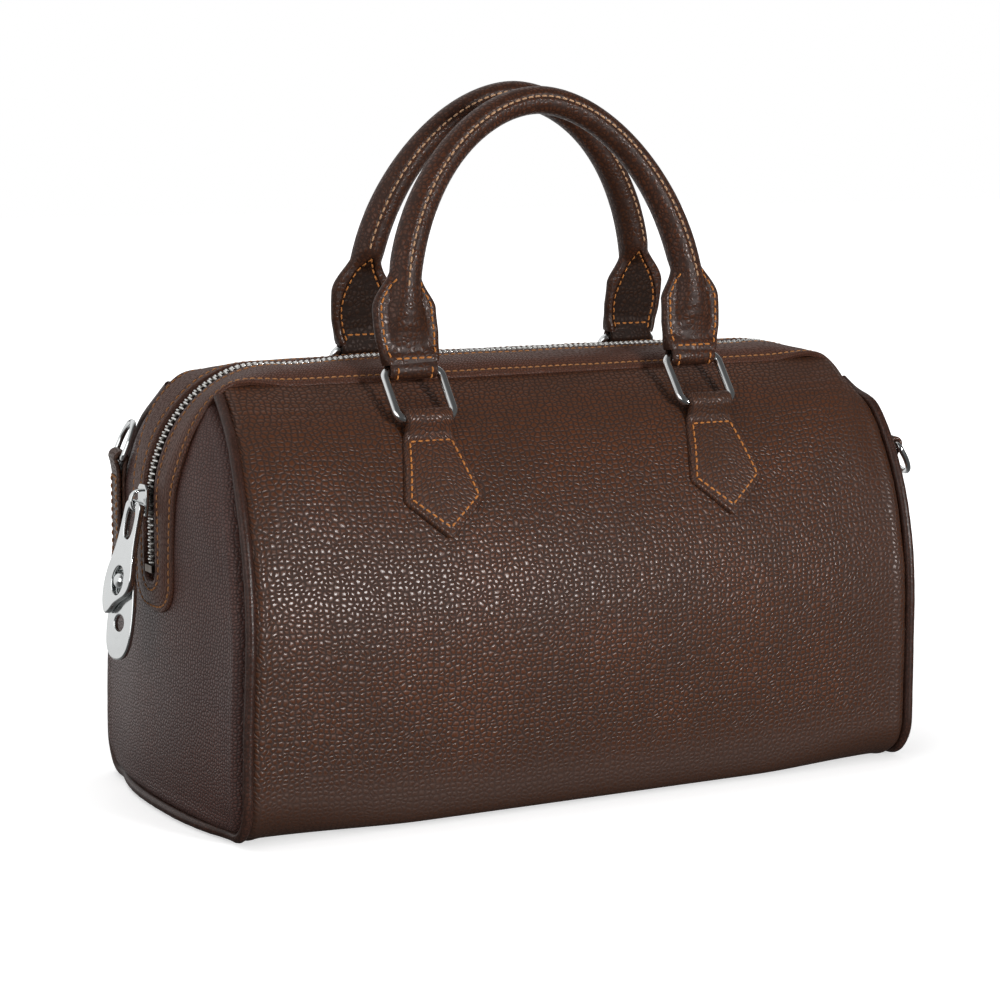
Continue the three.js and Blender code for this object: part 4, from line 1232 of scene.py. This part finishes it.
def handle_tab(x):
    shape = Shape()
    line, heights = tab_profile(x)
    along = tangents_of(line)
    out = vector(0 * along[:, 0], -along[:, 1], along[:, 0])[:, None]
    half = np.where(heights > TAB_NECK, TAB_LOOP_WIDTH / 2, tab_half(heights))[:, None]
    place = half * eased(30, 0.75)[None, :]
    slope = np.where(heights < TAB_SHOULDER, 0.7, 0.96)[:, None]
    edge = (half - np.abs(place)) * slope
    groove = 0.3 * bell(edge - TAB_ROW, 0.7) * (heights < TAB_STITCH_TOP)[:, None]
    top = 1.9 * round_edge(edge, 1.2, 0.98) - 0.8 - groove + 0.1 * waves(place, heights[:, None], 4)
    middle = vector(x + place, line[:, 0][:, None], line[:, 1][:, None])
    under = np.where(heights < TAB_STITCH_TOP, 1.6, 1.0)[:, None]
    slab(shape, middle + top[..., None] * out, middle - under[..., None] * out)
    shoulder = TAB_WIDTH / 2 - 3
    neck = tab_half(np.array(TAB_STITCH_TOP)) - 2.6
    corners = [(-neck, TAB_STITCH_TOP), (-shoulder, TAB_SHOULDER + 1), (0, TAB_TIP + 3.8)]
    corners += [(shoulder, TAB_SHOULDER + 1), (neck, TAB_STITCH_TOP), (-neck, TAB_STITCH_TOP)]
    for (x0, z0), (x1, z1) in zip(corners, corners[1:]):
        height = np.linspace(z0, z1, 12)
        row = vector(x + np.linspace(x0, x1, 12), *along_line(height, heights, line).T)
        outs = along_line(height, heights, out[:, 0])
        stitches(shape, row + 0.85 * outs, outs)
    return shape


handle_shape = handle()
rope_shape = rope()
ring_shape = handle_ring()
for side, turn in (("front", lambda points: points), ("back", half_turn)):
    shift = 0 if side == "front" else -BACK_SHIFT
    ring_lean = RING_LEANS[side]
    head_y = RING_FOOT[0] + RING_SPAN * math.sin(ring_lean)
    head_z = RING_FOOT[1] + RING_SPAN * math.cos(ring_lean)

    def place_handle(points):
        return turn(turned(points, X=-HANDLE_LEAN) + np.array([shift, head_y, head_z]))

    looks = (handle_leather, orange_thread, pale_thread, shaded_patch_leather)
    cover = make(
        f"{side}_handle_skin", handle_shape.moved(place_handle), looks,
        f"{side}_handle", [f"{side}_handle_cover"],
    )
    core = rope_shape.moved(place_handle)
    make(f"{side}_handle_rope", core, (rope_core,), f"{side}_handle", [f"{side}_handle_core"])
    for end, x in (("left", -HANDLE_X), ("right", HANDLE_X)):
        inward = (x if side == "front" else -x) + shift

        def place_ring(points):
            return turn(turned(points, X=-ring_lean) + np.array([inward, *RING_FOOT]))

        ring = ring_shape.moved(place_ring)
        ring_node = f"{side}_{end}_ring"
        make(f"{ring_node}_wire", ring, (chrome,), f"{ring_node}_body", [ring_node])
        tab = handle_tab(inward).moved(turn)
        tab_look = (trim_leather, orange_thread)
        tab_node = f"{side}_{end}_handle_tab"
        make(f"{tab_node}_leather", tab, tab_look, "bag", [tab_node])


# Slider and pull, drawn with the outside of the left end towards +X and then turned to it

def plate(shape, outlines, thickness, bevel, out):
    """A plate with round edges that faces out of the end, at a distance from the zip.

    Its outlines are drawn in X and Y as seen from outside; those after the first are holes.
    """
    curve = bpy.data.curves.new("outline", "CURVE")
    curve.dimensions = "2D"
    curve.fill_mode = "BOTH"
    curve.extrude = thickness / 2 - bevel
    curve.bevel_depth = bevel
    curve.bevel_resolution = 3
    curve.offset = -bevel
    for outline in outlines:
        spline = curve.splines.new("POLY")
        spline.points.add(len(outline) - 1)
        for point, (x, y) in zip(spline.points, outline):
            point.co = (x, y, 0, 1)
        spline.use_cyclic_u = True
    holder = bpy.data.objects.new("outline", curve)
    mesh = bpy.data.meshes.new_from_object(holder)
    points = np.array([v.co for v in mesh.vertices])
    faces = [tuple(p.vertices) for p in mesh.polygons]
    shape.add(vector(out + points[:, 2], points[:, 0], points[:, 1]), faces)
    bpy.data.objects.remove(holder)
    bpy.data.curves.remove(curve)
    bpy.data.meshes.remove(mesh)


def smooth_outline(corners):
    """A closed curve that passes near its corners, by repeated corner cutting."""
    points = np.array(corners, float)
    for _ in range(3):
        following = np.roll(points, -1, 0)
        nearer = points * 0.75 + following * 0.25
        further = points * 0.25 + following * 0.75
        points = np.stack([nearer, further], 1).reshape(-1, 2)
    return points


def oval(y, half_x, half_y):
    turn = full_turn(32)
    return vector(half_x * np.cos(turn), y + half_y * np.sin(turn))


def on_slider(points):
    """Places what is drawn at the slider on the bag's left end."""
    return vector(-END_X - points[:, 0], -points[:, 1], BEND_HEIGHT + points[:, 2])


def on_pull(points):
    """Places what is drawn from the pull's upper bar."""
    hung = turned(points, Y=-PULL_LEAN, X=-PULL_ROLL, Z=PULL_TWIST)
    return on_slider(hung + np.array([PULL_PIVOT[0], 0, PULL_PIVOT[1]]))


def on_tongue(points):
    """Places what is drawn from the pull's rivet."""
    return on_pull(turned(points, X=PULL_ROLL) + np.array([0, 0, -RIVET_DROP]))


def slider_shape():
    shape = Shape()
    outline = [
        (-4.7, 4.5), (-2.7, 6.5), (2.7, 6.5), (4.7, 4.5),
        (4.7, 0), (3.5, -6.5), (-3.5, -6.5), (-4.7, 0),
    ]
    for middle, thickness in ((-1.8, 1.2), (4.35, 1.5)):
        plate(shape, [outline], thickness, 0.45, middle)
    web = [(-0.4, 2), (0.4, 2), (0.4, 5), (-0.4, 5)]
    plate(shape, [web], 5, 0.1, 1.3)
    return shape.moved(on_slider)


def bridge_shape():
    shape = Shape()
    turn = np.linspace(0, np.pi, 24)
    path = vector(5 + 5 * np.sin(turn) ** 0.7, 0, -0.5 + 4.6 * np.cos(turn))
    strap(shape, path, 3, Y_AXIS, 1.1)
    return shape.moved(on_slider)


def pull_plate():
    outline = smooth_outline([
        (-5.2, 1.3), (-5.4, -7), (-5.6, -15), (-6.6, -22), (-8.8, -29), (-9.4, -37),
        (-7.9, -44.5), (-4.7, -48.8), (-2, -46.5), (0, -43), (3.2, -40.4), (7, -37.4),
        (8.8, -32.5), (7.8, -26), (6.2, -20), (5.5, -12), (5.3, -5), (5.2, 1.3),
    ])
    slot = smooth_outline([(-2.8, -1.2), (-2.8, -15.4), (2.8, -15.4), (2.8, -1.2)])
    shape = Shape()
    plate(shape, [outline, slot, oval(-RIVET_DROP, 3.7, 6.1)], PULL, 0.6, 0.25)
    return shape.moved(on_pull)


def pull_tongue():
    outline = smooth_outline([
        (-4.2, 5), (-7, 0), (-8.5, -10), (-8.8, -20), (-7.6, -28), (-3.6, -32.6), (3.6, -32.6), (7.6, -28),
        (8.8, -20), (8.5, -10), (7, 0), (4.2, 5),
    ])
    shape = Shape()
    plate(shape, [outline, oval(-17.5, 3.2, 3.4)], TONGUE, 0.65, -PULL / 2 - TONGUE / 2)
    return shape.moved(on_tongue)


def pull_rivet():
    """A round dome in the plate's oval eye, and a flat head behind the tongue."""
    shape = Shape()
    back = -PULL / 2 - TONGUE - PULL_GAP
    profile = (
        (0.3, back - 0.7), (2.7, back - 0.7), (3, back - 0.4), (2.9, back), (1.6, back + 0.1), (1.6, -1.4),
        (3.5, -1.2), (3.5, -0.3), (3.3, 0.8), (2.7, 1.7), (1.8, 2.3), (0.8, 2.6), (0.2, 2.65),
    )
    turn = full_turn(32)
    rings = [vector(out, r * np.cos(turn), r * np.sin(turn) - RIVET_DROP) for r, out in profile]
    loft(shape, np.array(rings))
    return shape.moved(on_pull)


for node, body, build in (
    ("slider_body", "slider", slider_shape),
    ("slider_bridge", "slider", bridge_shape),
    ("pull_plate", "pull", pull_plate),
    ("pull_tongue", "tongue", pull_tongue),
    ("pull_rivet", "pull", pull_rivet),
):
    make(f"{node}_metal", build(), (chrome,), body, [node], 35)


# Strap tabs and D-rings, drawn with the outside towards -X and turned to each end

def on_strap(points, side, place):
    angle = -STRAP_TURN if side < 0 else math.pi - STRAP_TURN
    return turned(points, Z=angle) + np.array([side * place[0], -side * STRAP_Y, place[1]])


def strap_tab(inset):
    """A strap folded round the D-ring's bar, pinched below it and sewn down to the end panel."""
    shape = Shape()
    radius = STRAP_LOOP_RADIUS
    turn = np.linspace(math.radians(-35), math.radians(215), 28)
    bend = vector(-radius * np.cos(turn), 0, radius * np.sin(turn))
    level = inset - STRAP_LOOP_RADIUS
    down = np.linspace(-STRAP_LENGTH, STRAP_PINCH, 28)
    first = vector(level + 0.25 * smooth(2 * STRAP_PINCH, STRAP_PINCH, down), 0, down)
    last = vector(level + 2.2, 0, np.linspace(STRAP_PINCH, -STRAP_LENGTH + 6, 16))
    path = softened(np.concatenate([first, bend, last]), 2)
    strap(shape, path, STRAP_WIDTH, Y_AXIS, STRAP_THICK)
    out = level - STRAP_THICK / 2
    half = STRAP_WIDTH / 2 - 2.2
    high = STRAP_PINCH - 2
    low = -STRAP_LENGTH + 2.4
    corners = [(-half, high), (-half, low), (half, low), (half, high), (-half, high)]
    for (y0, z0), (y1, z1) in zip(corners, corners[1:]):
        line = vector(out, np.linspace(y0, y1, 8), np.linspace(z0, z1, 8))
        stitches(shape, line, -X_AXIS)
    return shape


def d_ring():
    half = (D_WIDTH - D_WIRE) / 2
    turn = np.linspace(0, np.pi, 30)
    arch = vector(0, half * np.cos(turn), 5 + (D_REACH - 5 - D_WIRE / 2) * np.sin(turn))
    foot = rounded_loop(2 * half, 12, 2.4)[:, [1, 0, 2]]
    lower = foot[foot[:, 2] < 4]
    left = lower[lower[:, 1] < 0]
    right = lower[lower[:, 1] > 0]
    path = np.concatenate([right[np.argsort(right[:, 2])], arch, left[np.argsort(-left[:, 2])]])
    shape = Shape()
    tube(shape, resampled(path, 0.8), D_WIRE / 2, X_AXIS, 16, True)
    return shape


for name, side, place, angle in (
    ("left", -1, LEFT_STRAP, LEFT_D_LEAN), ("right", 1, RIGHT_STRAP, math.pi + RIGHT_D_LEAN),
):
    tab = strap_tab(place[2]).moved(lambda points: on_strap(points, side, place))
    tab_look = (trim_leather, tan_thread)
    make(f"{name}_strap_tab_leather", tab, tab_look, "bag", [f"{name}_strap_tab"])
    ring = d_ring().moved(lambda points: on_strap(turned(points, Y=angle), side, place))
    ring_node = f"{name}_strap_ring"
    make(f"{ring_node}_wire", ring, (chrome,), f"{ring_node}_body", [ring_node])


# Lining and pocket, sewn to the panels at their edges

def wrinkled(grid, size):
    """Cloth that stands a little off its backing in soft folds."""
    fold = waves(grid[..., 0] + grid[..., 1], flat_of(grid)[..., 1], 17)
    return grid - (LINING_INSET + size * (1 + fold))[..., None] * normals_of(grid)


def end_lining(seams):
    courses = ([], [])
    low = (8, LINING_SPLIT)
    high = (LINING_SPLIT, 168)
    for course, heights, left, right in ((0, low, 1, -1), (1, high, 1, None), (1, high, None, -1)):
        shares = np.linspace(*share_at(heights), 30)[:, None]
        half = -seam_point(shares, seams)[..., 1] - LINING_SEAM_GAP
        across = across_end(half, LINING_SLOT, left, right, np.linspace(0, 1, 30))
        across, share = np.broadcast_arrays(across, shares)
        cloth = wrinkled(left_end_point(across, share, LINING_SEAM_GAP, seams), 0.3)
        courses[course].append(cloth)
    return courses


front_cloth = wrinkled(front_grid(LINING_SEAM_GAP, 60, 60)[0], 0.4)
back_cloth = to_back(front_cloth)[:, ::-1]
left_cloth = end_lining(LEFT_SEAMS)
right_cloth = [[half_turn(grid) for grid in course] for course in end_lining(RIGHT_SEAMS)]
for name, courses in (
    ("front", [[front_cloth]]),
    ("back", [[back_cloth]]),
    ("left_end", left_cloth),
    ("right_end", right_cloth),
):
    hang_sheet(f"{name}_lining", courses)
floor_x = (BOARD[0] / 2 - 1) * np.linspace(-1, 1, 60)[None, :]
floor_y = BOARD[1] / 2 * np.linspace(-1, 1, 30)[:, None]
floor_cloth = vector(floor_x, floor_y, BOARD_TOP + LINING + 0.3 + 0.15 * waves(floor_x, floor_y, 19))
hang_sheet("bottom_lining", [[floor_cloth]])
pocket_x = POCKET[0] / 2 * np.linspace(-1, 1, 50)[None, :]
pocket_z = POCKET_FOOT + POCKET[1] * np.linspace(0, 1, 30)[:, None]
gape = POCKET_SAG * smooth(0.3, 1, (pocket_z - POCKET_FOOT) / POCKET[1])
sagged = gape * (1 - (2 * pocket_x / POCKET[0]) ** 2)
pocket_cloth = vector(-pocket_x, HALF_DEPTH - 7 - sagged, pocket_z)
hang_sheet("slip_pocket", [[pocket_cloth]])

# Looks of the frame's own pieces that stay
kept = {"base_board": board_stock, "left_zip_stop": stop_metal, "right_zip_stop": stop_metal}
for name, material in kept.items():
    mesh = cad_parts[name].data
    mesh.materials.clear()
    mesh.materials.append(material)


# Floor, light and camera

def studio():
    """A white floor that keeps the bag's shadow and is as white as the background further out."""
    bpy.ops.mesh.primitive_plane_add(size=12, location=(0, 0, -0.0004))
    floor = bpy.context.object
    floor.name = "floor"
    material, tree, surface, place = new_material("floor_white")
    surface.inputs["Roughness"].default_value = 0.9
    surface.inputs["Specular IOR Level"].default_value = 0.0
    surface.inputs["Emission Color"].default_value = (1, 1, 1, 1)
    away = add_node(tree, "ShaderNodeVectorMath", {0: place}, operation="LENGTH").outputs["Value"]
    path = add_node(tree, "ShaderNodeLightPath")
    mirrored = path.outputs["Is Glossy Ray"]
    split = add_node(tree, "ShaderNodeSeparateXYZ", {"Vector": place})
    behind = spread(tree, split.outputs[1], -0.1, 0.35)
    seen_glow = times(tree, path.outputs["Is Camera Ray"], spread(tree, away, 0.25, 0.8, 0.5, 1.0))
    mirrored_glow = times(tree, mirrored, spread(tree, behind, 0.0, 1.0, 0.08, 0.85))
    glow = plus(tree, seen_glow, mirrored_glow)
    shade = mix(tree, mirrored, (0.86, 0.86, 0.86, 1), (0, 0, 0, 1))
    connect(tree, surface, Base_Color=shade, Emission_Strength=glow)
    floor.data.materials.append(material)


def sky():
    """White for the camera; mirrored in the bag it is dark on the viewer's side, as in a studio."""
    world = bpy.data.worlds.new("studio")
    world.use_nodes = True
    tree = world.node_tree
    background = tree.nodes["Background"]
    background.inputs["Color"].default_value = (1, 1, 1, 1)
    path = add_node(tree, "ShaderNodeLightPath")
    ahead = add_node(tree, "ShaderNodeTexCoord").outputs["Generated"]
    facing_dark = add_node(tree, "ShaderNodeVectorMath", {0: ahead, 1: DARK_SIDE}, operation="DOT_PRODUCT")
    split = add_node(tree, "ShaderNodeSeparateXYZ", {"Vector": ahead})
    behind = spread(tree, split.outputs[1], 0.2, 0.7)
    low_behind = times(tree, behind, spread(tree, split.outputs[2], 0.42, 0.12))
    low_behind = times(tree, low_behind, spread(tree, split.outputs[0], -0.25, 0.15))
    bright = spread(tree, facing_dark.outputs["Value"], 0.45, -0.35, 0.1, 0.95)
    mirrored = times(tree, bright, spread(tree, low_behind, 1.0, 0.0, 0.05, 1.0))
    mirrored = times(tree, mirrored, path.outputs["Is Glossy Ray"])
    direct = calc(tree, "MAXIMUM", path.outputs["Is Camera Ray"], path.outputs["Is Transmission Ray"])
    seen = calc(tree, "MAXIMUM", direct, path.outputs["Is Glossy Ray"])
    unseen = times(tree, calc(tree, "SUBTRACT", 1.0, seen), 0.35)
    strength = plus(tree, calc(tree, "MAXIMUM", direct, mirrored), unseen)
    tree.links.new(strength, background.inputs["Strength"])
    scene.world = world


def lamp(name, place, target, size, power, mirrored=False):
    light = bpy.data.lights.new(name, "AREA")
    light.shape = "RECTANGLE"
    light.size, light.size_y = size
    light.energy = power
    holder = bpy.data.objects.new(name, light)
    holder.location = place
    holder.visible_glossy = mirrored
    holder.rotation_mode = "QUATERNION"
    holder.rotation_quaternion = (Vector(target) - Vector(place)).to_track_quat("-Z", "Y")
    scene.collection.objects.link(holder)


def camera():
    data = bpy.data.cameras.new("camera")
    data.lens = CAMERA_LENS
    data.sensor_width = 36
    holder = bpy.data.objects.new("camera", data)
    holder.location = CAMERA_PLACE
    holder.rotation_euler = (QUARTER - CAMERA_DIP, 0, -CAMERA_TURN)
    scene.collection.objects.link(holder)
    scene.camera = holder


studio()
sky()
lamp("key", (0.9, -2.85, 0.62), target=(-0.05, 0, 0.1), size=(0.55, 0.55), power=75, mirrored=True)
lamp("fill", (-1.5, -0.9, 0.45), target=(0, 0, 0.1), size=(1.2, 1.6), power=10.5, mirrored=True)
lamp("top", (-0.2, 0.2, 1.5), target=(0, 0, 0.15), size=(1.2, 0.8), power=8)
camera()
scene.view_settings.view_transform = "Standard"
